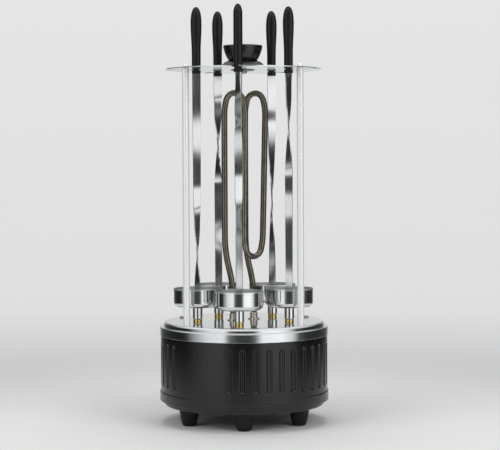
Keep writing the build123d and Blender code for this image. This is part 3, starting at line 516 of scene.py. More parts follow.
DECK_TOP_Z = 0.058
STUD_END_Z = 0.0495
STUD_R = 0.003
POST_R = 0.0043
POST_SPIGOT_R = 0.0032
SHOULDER_Z = 0.46
POST_TOP_Z = 0.4652
POST_CIRCLE_R = 0.095
POST_HEADINGS = (-50.0, 50.0, -176.5)

post = turned(
    "post",
    [
        (0, STUD_END_Z),
        (STUD_R, STUD_END_Z, 0.0003),
        (STUD_R, DECK_TOP_Z),
        (POST_R, DECK_TOP_Z),
        (POST_R, SHOULDER_Z, 0.0004),
        (POST_SPIGOT_R, SHOULDER_Z),
        (POST_SPIGOT_R, POST_TOP_Z, 0.0019),
        (0, POST_TOP_Z),
    ],
    steps=64,
)
posts = repeated(post, "anodised_posts", [spot(heading, POST_CIRCLE_R) for heading in POST_HEADINGS])
# Satin anodised aluminium: almost white, with a soft sheen and long faint drawing lines.
anodised = grain(
    finish("satin_anodised_aluminium", metallic=0.25),
    (0.5, 0.5, 30), ("f2f2f3", "f8f8f9"), (0.22, 0.3), 0.001,
)
dress(posts, anodised)
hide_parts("posts")
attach(posts, "base")

# ---------------------------------------------------------------- brass bushes
# Five turned brass bushes stand in the lid. The spindles run in them, and only their rounded
# collars show under the cups' stems.

STATION_R = 0.0622
FIRST_STATION = -5.4
GEAR_PITCH_R = 0.036
BUSH_Z = 0.136
BUSH_BORE_R = 0.00406
BUSH_SHANK_R = 0.0051
BUSH_FOOT_Z = 0.1262
BUSH_R = 0.00575
BUSH_SHOULDER = 0.0013
STATION_NAMES = ("front", "left", "rear_left", "rear_right", "right")
station_step = 2 * math.degrees(math.asin(GEAR_PITCH_R / STATION_R))
stations = {
    name: spot(FIRST_STATION - i * station_step, STATION_R) for i, name in enumerate(STATION_NAMES)
}

bush = turned(
    "bush",
    [
        (BUSH_BORE_R, BUSH_FOOT_Z),
        (BUSH_SHANK_R, BUSH_FOOT_Z),
        (BUSH_SHANK_R, PLATE_Z),
        (BUSH_R, PLATE_Z, 0.0003),
        (BUSH_R, BUSH_Z, BUSH_SHOULDER),
        (BUSH_BORE_R, BUSH_Z, 0.0003),
    ],
    steps=72,
    closed=True,
)
bushes = repeated(bush, "turned_brass_bushes", stations.values())
# Turned brass: warm yellow with bright fine rings.
brass = grain(
    finish("turned_brass", metallic=1.0),
    (0.6, 400, 0.6), ("cfb262", "efdc9c"), (0.1, 0.18), 0.003, attribute="lathe",
)
dress(bushes, brass)
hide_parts("brass_bushes")
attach(bushes, "base")
# Plain brass of the terminal screws: duller and redder.
plain_brass = grain(
    finish("brass_screw", metallic=1.0), (1.5, 1.5, 1.5), ("b98d3a", "d0ab58"), (0.2, 0.32), 0.005
)
dress(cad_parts["terminal_screws"], plain_brass)

# ---------------------------------------------------------------- spindles and gears
# Steel spindles with flatted, slotted heads, each turned by an acetal gear on the deck. The
# motor's acetal pinion drives the rear left one, and acetal bushes carry them in the deck.

# Natural acetal: waxy off-white, slightly translucent at the teeth.
acetal = grain(
    finish("natural_acetal", Subsurface_Weight=0.15, Subsurface_Scale=0.002),
    (3, 3, 3), ("ddd9cd", "e9e6dc"), (0.32, 0.42), 0.01,
)
for node in ("motor_pinion", "deck_bushes", *[f"gear_{name}" for name in STATION_NAMES]):
    dress(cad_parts[node], acetal)
for name in STATION_NAMES:
    dress(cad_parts[f"spindle_{name}"], zinc)

# ---------------------------------------------------------------- drip cups
# Five spun stainless cups, polished, each with a rolled lip and a tube welded under it. The
# tube drops over the spindle's head, so a cup lifts off for washing.

STEM_Z = 0.1362
STEM_R = 0.0063
STEM_BORE_R = 0.0053
CUP_Z = 0.152
CUP_R = 0.031
CUP_WALL = 0.0008
CUP_CORNER_R = 0.0065
RIM_Z = 0.1763
LIP_R = 0.0315
LIP_Z = 0.1747

cup = turned(
    "cup",
    [
        (STEM_BORE_R, STEM_Z),
        (STEM_R, STEM_Z, 0.0003),
        (STEM_R, CUP_Z, 0.0004),
        (CUP_R, CUP_Z, CUP_CORNER_R),
        (CUP_R, LIP_Z, 0.0002),
        (LIP_R, LIP_Z, 0.0003),
        (LIP_R, RIM_Z, 0.0005),
        (CUP_R - CUP_WALL, RIM_Z, 0.0003),
        (CUP_R - CUP_WALL, CUP_Z + CUP_WALL, CUP_CORNER_R - CUP_WALL),
        (STEM_BORE_R, CUP_Z + CUP_WALL, 0.0003),
    ],
    steps=160,
    closed=True,
)
# Mirror polished stainless: hard bright and dark reflections with a trace of spinning rings.
polished_stainless = grain(
    finish("mirror_polished_stainless", metallic=1.0),
    (0.7, 400, 1.1), ("dcdddd", "e8e9e9"), (0.07, 0.13), 0.003, attribute="lathe",
)
# Inside, the spun sheet is left satin, so that it is paler and shows no sharp reflections.
satin_stainless = grain(
    finish("satin_spun_stainless", metallic=1.0),
    (0.7, 400, 1.1), ("d2d3d3", "dfe0e0"), (0.42, 0.5), 0.004, attribute="lathe",
)
dress(cup, polished_stainless)
cup.data.materials.append(satin_stainless)
for face in cup.data.polygons:
    away = Vector((face.center.x, face.center.y, 0))
    inward = away.length < CUP_R - CUP_WALL / 2 and face.normal.dot(away) < 0
    if face.center.z > CUP_Z + CUP_WALL / 2 and (inward or face.normal.z > 0.5):
        face.material_index = 1
for name, place in stations.items():
    placed_cup = copied(cup, f"polished_cup_{name}", place)
    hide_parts(f"cup_{name}")
    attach(placed_cup, f"cup_{name}")
bpy.data.objects.remove(cup)

# ---------------------------------------------------------------- heater
# One steel-sheathed heating tube, bent into four upright legs: two tall loops and a low one.
# Its ends go down through the lid. Heat has tinted the sheath brown-grey.

HEATER_R = 0.004
LOOP_TOP_Z = 0.430
LOOP_LOW_Z = 0.217
LOOP_FALL = 0.020
LOOP_INSET = 0.18               # how far a loop draws in, as a share of its width
BEND_TOP_Z = 0.222
BEND_LOW_Z = 0.178
TUBE_END_Z = 0.110
TUBE_END_REACH = 0.01           # handle of the curve at each end of the tube
LEFT_FOOT = Vector((-0.014, 0.003))
LEFT_LEG = Vector((-0.0246, 0.0))
FRONT_LEG_TOP = Vector((0.0028, -0.020))
FRONT_LEG_LOW = Vector((0.0009, -0.020))
RIGHT_LEG_LOW = Vector((0.025, 0.0))
RIGHT_LEG_TOP = Vector((0.029, 0.0))
REAR_LEG = Vector((0.0025, 0.020))
REAR_FOOT = Vector((0.013, 0.021))
BEND_SHARE = 0.48               # how much of the shorter run beside it a bend takes up


def loop_points(start, end, height, fall):
    """Four corners of a drawn-in loop between two upright legs."""
    near, far = start.lerp(end, LOOP_INSET), start.lerp(end, 1 - LOOP_INSET)
    return [(*start, height - fall), (*near, height), (*far, height), (*end, height - fall)]


tube_points = [
    (*LEFT_FOOT, TUBE_END_Z),
    (*LEFT_FOOT, BEND_LOW_Z),
    (*LEFT_LEG, BEND_TOP_Z),
    *loop_points(LEFT_LEG, FRONT_LEG_TOP, LOOP_TOP_Z, LOOP_FALL),
    *loop_points(FRONT_LEG_LOW, RIGHT_LEG_LOW, LOOP_LOW_Z, -LOOP_FALL),
    *loop_points(RIGHT_LEG_TOP, REAR_LEG, LOOP_TOP_Z, LOOP_FALL),
    (*REAR_LEG, BEND_TOP_Z),
    (*REAR_FOOT, BEND_LOW_Z),
    (*REAR_FOOT, TUBE_END_Z),
]
bends = []                      # each tangent point with the reach of its handles
for before, corner, after in zip(tube_points, tube_points[1:], tube_points[2:]):
    before, corner, after = Vector(before), Vector(corner), Vector(after)
    back, ahead = (before - corner).normalized(), (after - corner).normalized()
    reach = BEND_SHARE * min((before - corner).length, (after - corner).length)
    turn = math.pi - back.angle(ahead)
    handle = 4 / 3 * math.tan(turn / 4) * reach / math.tan(turn / 2)
    bends += [(corner + back * reach, -back * handle), (corner + ahead * reach, ahead * handle)]
bpy.ops.object.select_all(action="DESELECT")
bpy.ops.curve.primitive_bezier_curve_add(location=(0, 0, 0))
heater = bpy.context.object
heater.name = "heater_element"
route = heater.data.splines[0]
route.bezier_points.add(len(bends))
ends = (Vector(tube_points[0]), Vector(tube_points[-1]))
upward_reach = Vector((0, 0, TUBE_END_REACH))
for point, (place, handle) in zip(
    route.bezier_points, [(ends[0], upward_reach), *bends, (ends[1], -upward_reach)]
):
    point.handle_left_type = point.handle_right_type = "FREE"
    point.co = place
    point.handle_left = place - handle
    point.handle_right = place + handle
heater.data.resolution_u = 10
heater.data.bevel_depth = HEATER_R
heater.data.bevel_resolution = 6
heater.data.use_fill_caps = True
bpy.ops.object.convert(target="MESH")
smoothed(heater, 60)
# Heat-proof steel sheath after use: oxidised brown-grey metal, slightly mottled along its length.
oxidised = grain(
    finish("oxidised_heater_sheath", metallic=0.85),
    (4, 4, 12), ("6f695e", "827b6f"), (0.12, 0.17), 0.002,
)
dress(heater, oxidised)
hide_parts("heater_tube")
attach(heater, "base")

# ---------------------------------------------------------------- heater bushings
# A plated steel bushing is crimped on each end of the tube. Its flange stands on the lid, and
# a nut under the lid holds it.

BUSHING_FOOT_Z = 0.1242
BUSHING_BORE_R = 0.00405
BUSHING_SHANK_R = 0.005
BUSHING_FLANGE_R = 0.0078
BUSHING_FLANGE_Z = PLATE_Z + 0.0012
RING_R = 0.0052                 # two crimped rings with a groove between them
RING_ROUNDING = 0.0012
GROOVE_R = 0.0044
GROOVE_LOW_Z = PLATE_Z + 0.0048
GROOVE_HIGH_Z = PLATE_Z + 0.0056
BUSHING_TOP_Z = PLATE_Z + 0.0088

bushing = turned(
    "bushing",
    [
        (BUSHING_BORE_R, BUSHING_FOOT_Z),
        (BUSHING_SHANK_R, BUSHING_FOOT_Z),
        (BUSHING_SHANK_R, PLATE_Z),
        (BUSHING_FLANGE_R, PLATE_Z, 0.0003),
        (BUSHING_FLANGE_R, BUSHING_FLANGE_Z, 0.0004),
        (RING_R, BUSHING_FLANGE_Z, 0.0002),
        (RING_R, GROOVE_LOW_Z, RING_ROUNDING),
        (GROOVE_R, GROOVE_LOW_Z),
        (GROOVE_R, GROOVE_HIGH_Z),
        (RING_R, GROOVE_HIGH_Z, 0.0008),
        (RING_R, BUSHING_TOP_Z, RING_ROUNDING),
        (BUSHING_BORE_R, BUSHING_TOP_Z),
    ],
    steps=72,
    closed=True,
)
bushings = repeated(bushing, "crimped_bushings", [(*LEFT_FOOT, 0), (*REAR_FOOT, 0)])
# Zinc plate that the heat has given a warm cast: bright, with a smooth sheen.
warm_zinc = grain(
    finish("warm_zinc_plate", metallic=1.0), (1.5, 1.5, 1.5), ("cfcabd", "e2ddd2"), (0.1, 0.18), 0.004
)
dress(bushings, warm_zinc)
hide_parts("heater_bushings")
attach(bushings, "base")

# Steatite beads insulate the tube's ends: off-white, matt, faintly speckled.
steatite = grain(finish("steatite_ceramic"), (0.8, 0.8, 0.8), ("d9d2c4", "ece8df"), (0.5, 0.65), 0.02)
dress(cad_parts["heater_insulators"], steatite)
# The terminal block is moulded in cream phenolic with a soft sheen.
cream_phenolic = grain(finish("cream_phenolic"), (1.2, 1.2, 1.2), ("d8d0b8", "e4dcc6"), (0.42, 0.55), 0.015)
dress(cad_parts["terminal_block"], cream_phenolic)

# ---------------------------------------------------------------- skewer blades
# Flat stainless strips, ground along their length and twisted half a turn by hand, each at
# another height, so that each catches the light differently. A tang at the foot drops into the
# spindle's slot, and one at the head is moulded into the handle.

TANG_Z = 0.1386
BLADE_FOOT_Z = 0.1499
BLADE_HEAD_Z = 0.4544
HEAD_TANG_TOP_Z = 0.4964
BLADE_WALL = 0.0015
TANG_WIDTH = 0.006
FOOT_WIDTH = 0.009
HEAD_WIDTH = 0.0113
BLADE_STEPS = 110
BLADE_ROUNDING = 0.00025
# facing of the head, whole twist, middle of the twist and its length as shares of the height
BLADE_TWISTS = {
    "front": (128.0, 110.0, 0.56, 1.20),
    "left": (0.0, 175.0, 0.24, 0.66),
    "rear_left": (0.0, 180.0, 0.70, 0.68),
    "rear_right": (8.0, 160.0, 0.47, 1.05),
    "right": (20.0, 160.0, 0.74, 0.70),
}
# unevenness left by the hand twisting: height, how far it turns the strip and over what height
BLADE_SWAYS = {
    "front": (
        (0.442, -14.0, 0.020), (0.389, -20.0, 0.013), (0.314, 15.0, 0.012), (0.282, 22.0, 0.014),
        (0.262, 14.0, 0.014), (0.185, -20.0, 0.030),
    ),
    "left": ((0.375, 18.0, 0.030), (0.301, 13.0, 0.009), (0.268, 14.0, 0.012)),
    "rear_left": (
        (0.446, 13.0, 0.013), (0.418, 16.0, 0.009), (0.309, 20.0, 0.008), (0.298, 10.0, 0.012),
        (0.240, 17.0, 0.024),
    ),
    "rear_right": ((0.436, 12.0, 0.020), (0.400, -15.0, 0.010)),
    "right": ((0.446, 17.0, 0.018), (0.315, 18.0, 0.014), (0.281, -19.0, 0.019), (0.182, -18.0, 0.026)),
}


def blade_facing(name, height):
    """Facing of a blade at a height, as the angle in degrees of its width from +X."""
    facing, twist, middle, length = BLADE_TWISTS[name]
    share = (height - BLADE_FOOT_Z) / (BLADE_HEAD_Z - BLADE_FOOT_Z)
    along = min(max((middle - share) / length + 0.5, 0), 1)
    return facing + twist * along * along * (3 - 2 * along)


def sway(name, height):
    """How far a blade is turned off its even twist at a height, in degrees."""
    sways = BLADE_SWAYS[name]
    return sum(turn * math.exp(-(((height - at) / spread) ** 2)) for at, turn, spread in sways)


def extruded_up(rings):
    """Raises the selected face through rings of a height, a width and a depth."""
    at = rings[0]
    for ring in rings[1:]:
        bpy.ops.mesh.extrude_region_move(TRANSFORM_OT_translate={"value": (0, 0, ring[0] - at[0])})
        bpy.ops.transform.resize(value=(ring[1] / at[1], ring[2] / at[2], 1), center_override=(0, 0, 0))
        at = ring


blade_rings = [(TANG_Z, TANG_WIDTH, BLADE_WALL), (BLADE_FOOT_Z, TANG_WIDTH, BLADE_WALL)]
for i in range(BLADE_STEPS + 1):
    share = i / BLADE_STEPS
    blade_rings.append((
        BLADE_FOOT_Z + (BLADE_HEAD_Z - BLADE_FOOT_Z) * share,
        FOOT_WIDTH + (HEAD_WIDTH - FOOT_WIDTH) * share,
        BLADE_WALL,
    ))
blade_rings += [(BLADE_HEAD_Z, TANG_WIDTH, BLADE_WALL), (HEAD_TANG_TOP_Z, TANG_WIDTH, BLADE_WALL)]

bpy.ops.object.select_all(action="DESELECT")
bpy.ops.mesh.primitive_plane_add(size=1, location=(0, 0, 0))
strip = bpy.context.object
bpy.ops.object.mode_set(mode="EDIT")
bpy.ops.mesh.select_all(action="SELECT")
bpy.ops.transform.resize(value=(TANG_WIDTH, BLADE_WALL, 1), center_override=(0, 0, 0))
bpy.ops.transform.translate(value=(0, 0, TANG_Z))
extruded_up(blade_rings)
bpy.ops.mesh.select_all(action="SELECT")
bpy.ops.mesh.normals_make_consistent(inside=False)
bpy.ops.object.mode_set(mode="OBJECT")
# Ground stainless: bright, with fine lines along the strip, drawn 0.6 mm wide so that they show.
ground_stainless = grain(
    finish("ground_stainless", metallic=1.0), (0.6, 0.6, 25), ("d2d3d4", "e1e2e3"), (0.17, 0.24), 0.002
)
dress(strip, ground_stainless)
for name, place in stations.items():
    blade = copied(strip, f"skewer_blade_{name}")
    bpy.ops.object.select_all(action="DESELECT")
    blade.select_set(True)
    bpy.context.view_layer.objects.active = blade
    bpy.ops.object.mode_set(mode="EDIT")
    for height in sorted({ring[0] for ring in blade_rings}):
        select_where(blade, lambda at: abs(at.z - height) < 1e-5)
        facing = blade_facing(name, min(max(height, BLADE_FOOT_Z), BLADE_HEAD_Z)) + sway(name, height)
        bpy.ops.transform.rotate(value=-math.radians(facing), orient_axis="Z", center_override=(0, 0, 0))
    bpy.ops.object.mode_set(mode="OBJECT")
    rounding = blade.modifiers.new("edges", "BEVEL")
    rounding.width = BLADE_ROUNDING
    rounding.segments = 2
    rounding.limit_method = "ANGLE"
    rounding.angle_limit = math.radians(60)
    bpy.ops.object.modifier_apply(modifier=rounding.name)
    blade.data.transform(Matrix.Translation(place))
    smoothed(blade, 50)
    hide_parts(f"blade_{name}")
    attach(blade, f"skewer_{name}")
bpy.data.objects.remove(strip)

# ---------------------------------------------------------------- handles
# Black grips, moulded over the heads of the blades. Each swells towards a blunt tip and has a
# round collar under it, by which the skewer hangs in its notch in the disc.

GRIP_Z = 0.4617
GRIP_HEIGHT = 0.0794
GRIP_WAIST = 0.020
GRIP_FULL = 0.0565
GRIP_WIDTH = 0.0117
GRIP_FULL_WIDTH = 0.0144
GRIP_DEPTH = 0.0117
GRIP_CORNER = 0.0047
TIP_POWER = 2.4                 # how blunt the tip is
TIP_DEPTH_HOLD = 1.15           # how long the depth holds out against the width
TIP_STEPS = 8
GRIP_RINGS = (0, 0.0006, 0.004, 0.012, 0.020, 0.027, 0.034, 0.041, 0.048, GRIP_FULL)
FOOT_INSET = 0.0006
TIP_INSET = 0.0012
TIP_RISE = 0.0005
GRIP_SINK = 0.0003              # how far the neck reaches into the grip
COLLAR_Z = 0.4546
COLLAR_TOP_Z = 0.4596
COLLAR_R = 0.00575
NECK_R = 0.004
GRIP_FACINGS = {"front": 90.0, "left": 0.0, "rear_left": 0.0, "rear_right": 0.0, "right": 0.0}


def grip_size(height):
    """Width and depth of a grip at a height above the disc."""
    along = min(max((height - GRIP_WAIST) / (GRIP_FULL - GRIP_WAIST), 0), 1)
    above = max(height - GRIP_FULL, 0) / (GRIP_HEIGHT - GRIP_FULL)
    left = (1 - above**TIP_POWER) ** (1 / TIP_POWER)
    width = GRIP_WIDTH + (GRIP_FULL_WIDTH - GRIP_WIDTH) * along * along * (3 - 2 * along)
    return width * left, GRIP_DEPTH * min(1, left * TIP_DEPTH_HOLD)


grip_heights = [
    *GRIP_RINGS,
    *[
        GRIP_FULL + (GRIP_HEIGHT - GRIP_FULL) * math.sin(math.pi / 2 * i / TIP_STEPS)
        for i in range(1, TIP_STEPS)
    ],
]
bpy.ops.object.select_all(action="DESELECT")
bpy.ops.mesh.primitive_plane_add(size=1, location=(0, 0, 0))
grip = bpy.context.object
bpy.ops.object.mode_set(mode="EDIT")
bpy.ops.mesh.select_all(action="SELECT")
bpy.ops.transform.resize(value=(GRIP_WIDTH, GRIP_DEPTH, 1), center_override=(0, 0, 0))
bpy.ops.mesh.bevel(offset=GRIP_CORNER, segments=3, affect="VERTICES", offset_type="OFFSET")
bpy.ops.mesh.select_all(action="SELECT")
bpy.ops.transform.translate(value=(0, 0, GRIP_Z))
bpy.ops.mesh.inset(thickness=FOOT_INSET)
bpy.ops.mesh.select_all(action="SELECT")
bpy.ops.mesh.region_to_loop()
extruded_up([(GRIP_Z + height, *grip_size(height)) for height in grip_heights])
bpy.ops.mesh.edge_face_add()
bpy.ops.mesh.inset(thickness=TIP_INSET)
bpy.ops.transform.translate(value=(0, 0, TIP_RISE))
bpy.ops.mesh.select_all(action="SELECT")
bpy.ops.mesh.normals_make_consistent(inside=False)
bpy.ops.object.mode_set(mode="OBJECT")
rounder = grip.modifiers.new("rounder", "SUBSURF")
rounder.levels = rounder.render_levels = 2
bpy.ops.object.modifier_apply(modifier=rounder.name)
collar = turned(
    "collar",
    [
        (0, COLLAR_Z),
        (COLLAR_R, COLLAR_Z, 0.001),
        (COLLAR_R, COLLAR_TOP_Z, 0.0006),
        (NECK_R, COLLAR_TOP_Z),
        (NECK_R, GRIP_Z + GRIP_SINK),
        (0, GRIP_Z + GRIP_SINK),
    ],
    steps=64,
)
# Phenolic moulding: satin black; broad soft highlights run along the grip.
phenolic = grain(
    finish("satin_black_phenolic", Specular_IOR_Level=0.4),
    (0.8, 0.8, 2.5), ("0b0b0c", "131314"), (0.34, 0.44), 0.012,
)
for piece in (grip, collar):
    dress(piece, phenolic)
for name, place in stations.items():
    parts = [copied(piece, f"grip_{name}", place, GRIP_FACINGS[name]) for piece in (grip, collar)]
    bpy.ops.object.select_all(action="DESELECT")
    for part in parts:
        part.select_set(True)
    bpy.context.view_layer.objects.active = parts[0]
    bpy.ops.object.join()
    handle = smoothed(parts[0], 50)
    handle.name = f"moulded_handle_{name}"
    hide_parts(f"handle_{name}")
    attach(handle, f"skewer_{name}")
bpy.data.objects.remove(grip)
bpy.data.objects.remove(collar)

# ---------------------------------------------------------------- top disc
# A flat stainless disc with a notch for each skewer and a hole for each post's spigot. It
# drops on the posts and lifts off with the skewers.

DISC_Z = 0.4602
DISC_TOP_Z = 0.4614
DISC_R = 0.102
NOTCH_R = 0.0044
HOLE_R = 0.0034
NOTCH_PAST = 0.01               # how far a notch's cutter reaches past the edge

disc = turned(
    "notched_disc",
    [(0, DISC_Z), (DISC_R, DISC_Z, 0.0003), (DISC_R, DISC_TOP_Z, 0.0003), (0, DISC_TOP_Z)],
    steps=288,
)
for name, place in stations.items():
    reach = DISC_R - STATION_R + NOTCH_PAST
    notch = block("notch", (2 * NOTCH_R, reach + 2 * NOTCH_R, CUTTER_HEIGHT), NOTCH_R * 0.98)
    heading = math.degrees(math.atan2(place.x, -place.y))
    cutter = copied(notch, "notch_cut", spot(heading, STATION_R + reach / 2, DISC_Z), heading)
    bpy.data.objects.remove(notch)
    cut(disc, cutter)
for heading in POST_HEADINGS:
    low, high = -CUTTER_HEIGHT / 2, CUTTER_HEIGHT / 2
    hole = turned("hole", [(0, low), (HOLE_R, low), (HOLE_R, high), (0, high)], steps=48)
    hole.data.transform(Matrix.Translation(spot(heading, POST_CIRCLE_R, DISC_Z)))
    cut(disc, hole)
smoothed(disc)
# Polished stainless sheet: pale and smooth, with faint cloudy streaks.
polished_sheet = grain(
    finish("polished_stainless_sheet", metallic=1.0), (14, 3, 14), ("e0e1e2", "ebeced"), (0.1, 0.18), 0.003
)
dress(disc, polished_sheet)
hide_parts("top_disc")
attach(disc, "disc_carrier")

# ---------------------------------------------------------------- washer and knob
# A waisted knob, moulded in glossy black plastic, stands on the disc. A screw through an
# enamelled washer under the disc holds it.

WASHER_BORE_R = 0.0025
WASHER_FLAT_R = 0.0085
WASHER_BEND = 0.002
WASHER_R = 0.0155
WASHER_Z = 0.4582
WASHER_EDGE_Z = 0.4595

washer = turned(
    "enamelled_washer",
    [
        (WASHER_BORE_R, WASHER_Z),
        (WASHER_FLAT_R, WASHER_Z, WASHER_BEND),
        (WASHER_R, WASHER_EDGE_Z, 0.0002),
        (WASHER_R, DISC_Z, 0.0001),
        (WASHER_BORE_R, DISC_Z),
    ],
    steps=96,
    closed=True,
)
dress(washer, black_enamel)
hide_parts("disc_washer")
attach(washer, "disc_carrier")

KNOB_BASE_R = 0.029
KNOB_EDGE_Z = DISC_TOP_Z + 0.002
KNOB_BASE_BULGE = (0.0258, DISC_TOP_Z + 0.007)
KNOB_NECK = (0.0184, DISC_TOP_Z + 0.011)
KNOB_BELL_BULGE = (0.0232, DISC_TOP_Z + 0.0202)
KNOB_RIM = (0.0257, DISC_TOP_Z + 0.0298)
KNOB_TOP_Z = DISC_TOP_Z + 0.0324
CROWN_EDGE = (0.0245, KNOB_TOP_Z - 0.0014)
CROWN_BULGE = (0.013, KNOB_TOP_Z - 0.0004)

knob_base = arc_through((KNOB_BASE_R, KNOB_EDGE_Z), KNOB_BASE_BULGE, KNOB_NECK, 12)
knob_bell = arc_through(KNOB_NECK, KNOB_BELL_BULGE, KNOB_RIM, 16)
crown = arc_through(CROWN_EDGE, CROWN_BULGE, (0, KNOB_TOP_Z), 10)
knob = turned(
    "moulded_knob",
    [
        (0, DISC_TOP_Z),
        (KNOB_BASE_R, DISC_TOP_Z, 0.0004),
        (KNOB_BASE_R, KNOB_EDGE_Z, 0.0005),
        *[tuple(point) for point in knob_base + knob_bell],
        (*CROWN_EDGE, 0.0006),
        *[tuple(point) for point in crown],
    ],
    steps=160,
)
# Glossy phenolic moulding: black with crisp, slightly wavy highlights.
gloss_black = grain(
    finish("glossy_black_phenolic", Coat_Weight=0.3, Coat_Roughness=0.12),
    (6, 6, 6), ("09090a", "101011"), (0.2, 0.28), 0.01,
)
dress(knob, gloss_black)
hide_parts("knob")
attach(knob, "disc_carrier")

# ---------------------------------------------------------------- floor
# A pale floor that takes the object's shadow and fades out into the pale backdrop.

FLOOR_R = 1.6
FLOOR_SOLID_R = 0.25
FLOOR_GONE_R = 0.9

bpy.ops.object.select_all(action="DESELECT")
bpy.ops.mesh.primitive_circle_add(vertices=96, radius=FLOOR_R, fill_type="NGON", location=(0, 0, 0))
floor = bpy.context.object
floor.name = "studio_floor"
paper = finish("pale_studio_paper", Roughness=0.85)
tree = paper.node_tree
shader = tree.nodes["Principled BSDF"]
place = add_node(tree, "ShaderNodeTexCoord").outputs["Object"]
mottle = add_node(tree, "ShaderNodeTexNoise", {"Vector": place, "Scale": 3.0})
paper_shades = add_node(tree, "ShaderNodeValToRGB", {"Fac": mottle.outputs["Fac"]})
paper_shades.color_ramp.elements[0].color = linear("dcdcdc")
paper_shades.color_ramp.elements[1].color = linear("e0e0e0")
tree.links.new(paper_shades.outputs["Color"], shader.inputs["Base Color"])
away = add_node(tree, "ShaderNodeVectorMath", {0: place}, operation="LENGTH")
fade = add_node(
    tree,
    "ShaderNodeMapRange",
    {"Value": away.outputs["Value"], "From Min": FLOOR_SOLID_R, "From Max": FLOOR_GONE_R},
    interpolation_type="SMOOTHSTEP",
)
clear = add_node(tree, "ShaderNodeBsdfTransparent")
mixed = add_node(
    tree, "ShaderNodeMixShader", {0: fade.outputs[0], 1: shader.outputs[0], 2: clear.outputs[0]}
)
tree.links.new(mixed.outputs[0], tree.nodes["Material Output"].inputs["Surface"])
floor.data.materials.append(paper)

# ---------------------------------------------------------------- studio light
# Two tall soft lights stand at the front left and right, and one hangs above. Polished metal
# sees the room round them: dark behind the camera, white at the soft lights, pale behind.

SOFT_LIGHTS = {                 # heading and height of each light in metres, its size and power
    "left": (-50.0, 1.1, 1.3, 17.0),
    "right": (46.0, 1.1, 1.2, 17.0),
    "above": (180.0, 2.2, 1.3, 20.0),
}
SOFT_LIGHT_AWAY = {"left": 1.7, "right": 1.7, "above": 0.3}
AIM_Z = 0.25
ROOM_HEADINGS = (               # heading in degrees and grey of what polished metal sees there
    (-180, "cacaca"), (-166, "b0b0b0"), (-150, "4c4c4c"), (-125, "2c2c2c"), (-97, "1c1c1c"), (-84, "303030"),
    (-52, "dcdcdc"), (-28, "ececec"), (-20, "6c6c6c"), (-9, "3c3c3c"), (9, "3c3c3c"), (16, "6c6c6c"),
    (25, "f4f4f4"), (52, "ffffff"), (68, "d8d8d8"), (80, "505050"), (96, "2c2c2c"), (125, "2c2c2c"),
    (150, "4c4c4c"), (166, "b0b0b0"), (180, "cacaca"),
)
# The world's own heights are the Z of a direction, from -1 straight down to 1 straight up.
CEILING_FROM, CEILING_FULL = 0.35, 0.75
GROUND_FROM, GROUND_FULL = -0.2, -0.5
BACKDROP_LOW, BACKDROP_HIGH = -0.18, 0.1
FILL_STRENGTH = 0.28
METAL_STRENGTH = 1.25           # the soft lights are brighter than the backdrop
# greys of the backdrop from below the horizon, past a darker band of painted shade (the object's soft shadow
# behind it and light falling off towards the horizon), up to the top of the view
BACKDROP_AND_SHADE_GREYS = ((0.0, "d6d6d6"), (0.15, "c4c4c4"), (0.30, "dfdfdf"), (1.0, "e5e5e5"))

for name, (heading, height, size, power) in SOFT_LIGHTS.items():
    place = spot(heading, SOFT_LIGHT_AWAY[name], height)
    aim = (Vector((0, 0, AIM_Z)) - place).to_track_quat("-Z", "Y")
    bpy.ops.object.light_add(type="AREA", location=place, rotation=aim.to_euler())
    lamp = bpy.context.object
    lamp.name = f"soft_light_{name}"
    lamp.data.shape = "SQUARE"
    lamp.data.size = size
    lamp.data.energy = power
    lamp.visible_camera = False
    lamp.visible_glossy = False

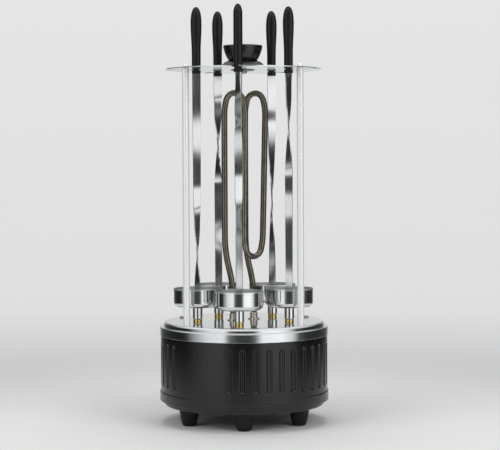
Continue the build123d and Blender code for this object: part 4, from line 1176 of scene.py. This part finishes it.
world = bpy.data.worlds.new("studio_room")
scene.world = world
world.use_nodes = True
tree = world.node_tree
tree.nodes.clear()
direction = add_node(tree, "ShaderNodeTexCoord").outputs["Generated"]
axes = add_node(tree, "ShaderNodeSeparateXYZ", {0: direction})
backwards = add_node(tree, "ShaderNodeMath", {0: axes.outputs["Y"], 1: -1.0}, operation="MULTIPLY")
heading = add_node(
    tree, "ShaderNodeMath", {0: axes.outputs["X"], 1: backwards.outputs[0]}, operation="ARCTAN2"
)
around = add_node(
    tree, "ShaderNodeMapRange", {"Value": heading.outputs[0], "From Min": -math.pi, "From Max": math.pi}
)
room = add_node(tree, "ShaderNodeValToRGB", {"Fac": around.outputs[0]})
stops = room.color_ramp.elements
stops.remove(stops[1])
for i, (degrees, grey) in enumerate(ROOM_HEADINGS):
    stop = stops[0] if i == 0 else stops.new((degrees + 180) / 360)
    stop.position = (degrees + 180) / 360
    stop.color = linear(grey)


def rise(low, high):
    """Output that grows from 0 to 1 as the direction's height goes from low to high."""
    limits = {"Value": axes.outputs["Z"], "From Min": low, "From Max": high}
    return add_node(tree, "ShaderNodeMapRange", limits).outputs[0]


upward = rise(CEILING_FROM, CEILING_FULL)
ceiling = add_node(
    tree, "ShaderNodeMix", {"Factor": upward, 6: room.outputs[0], 7: linear("f0f0f0")}, data_type="RGBA"
)
downward = rise(GROUND_FROM, GROUND_FULL)
seen_by_metal = add_node(
    tree, "ShaderNodeMix", {"Factor": downward, 6: ceiling.outputs[2], 7: linear("d8d8d8")}, data_type="RGBA"
)
height_share = rise(BACKDROP_LOW, BACKDROP_HIGH)
backdrop = add_node(tree, "ShaderNodeValToRGB", {"Fac": height_share})
stops = backdrop.color_ramp.elements
stops.remove(stops[1])
for i, (share, grey) in enumerate(BACKDROP_AND_SHADE_GREYS):
    stop = stops[0] if i == 0 else stops.new(share)
    stop.position = share
    stop.color = linear(grey)
fill_light = add_node(tree, "ShaderNodeBackground", {"Color": linear("ffffff"), "Strength": FILL_STRENGTH})
metal_light = add_node(
    tree, "ShaderNodeBackground", {"Color": seen_by_metal.outputs[2], "Strength": METAL_STRENGTH}
)
camera_light = add_node(tree, "ShaderNodeBackground", {"Color": backdrop.outputs[0], "Strength": 1.0})
ray = add_node(tree, "ShaderNodeLightPath")
mirror_ray = add_node(
    tree, "ShaderNodeMath", {0: ray.outputs["Is Glossy Ray"], 1: ray.outputs["Is Transmission Ray"]},
    operation="MAXIMUM",
)


def mixed_light(share, first, second):
    """Two lights mixed; the share is an output that is 1 where only the second shines."""
    sources = {0: share, 1: first.outputs[0], 2: second.outputs[0]}
    return add_node(tree, "ShaderNodeMixShader", sources)


room_light = mixed_light(mirror_ray.outputs[0], fill_light, metal_light)
all_light = mixed_light(ray.outputs["Is Camera Ray"], room_light, camera_light)
add_node(tree, "ShaderNodeOutputWorld", {"Surface": all_light.outputs[0]})
scene.view_settings.view_transform = "Standard"
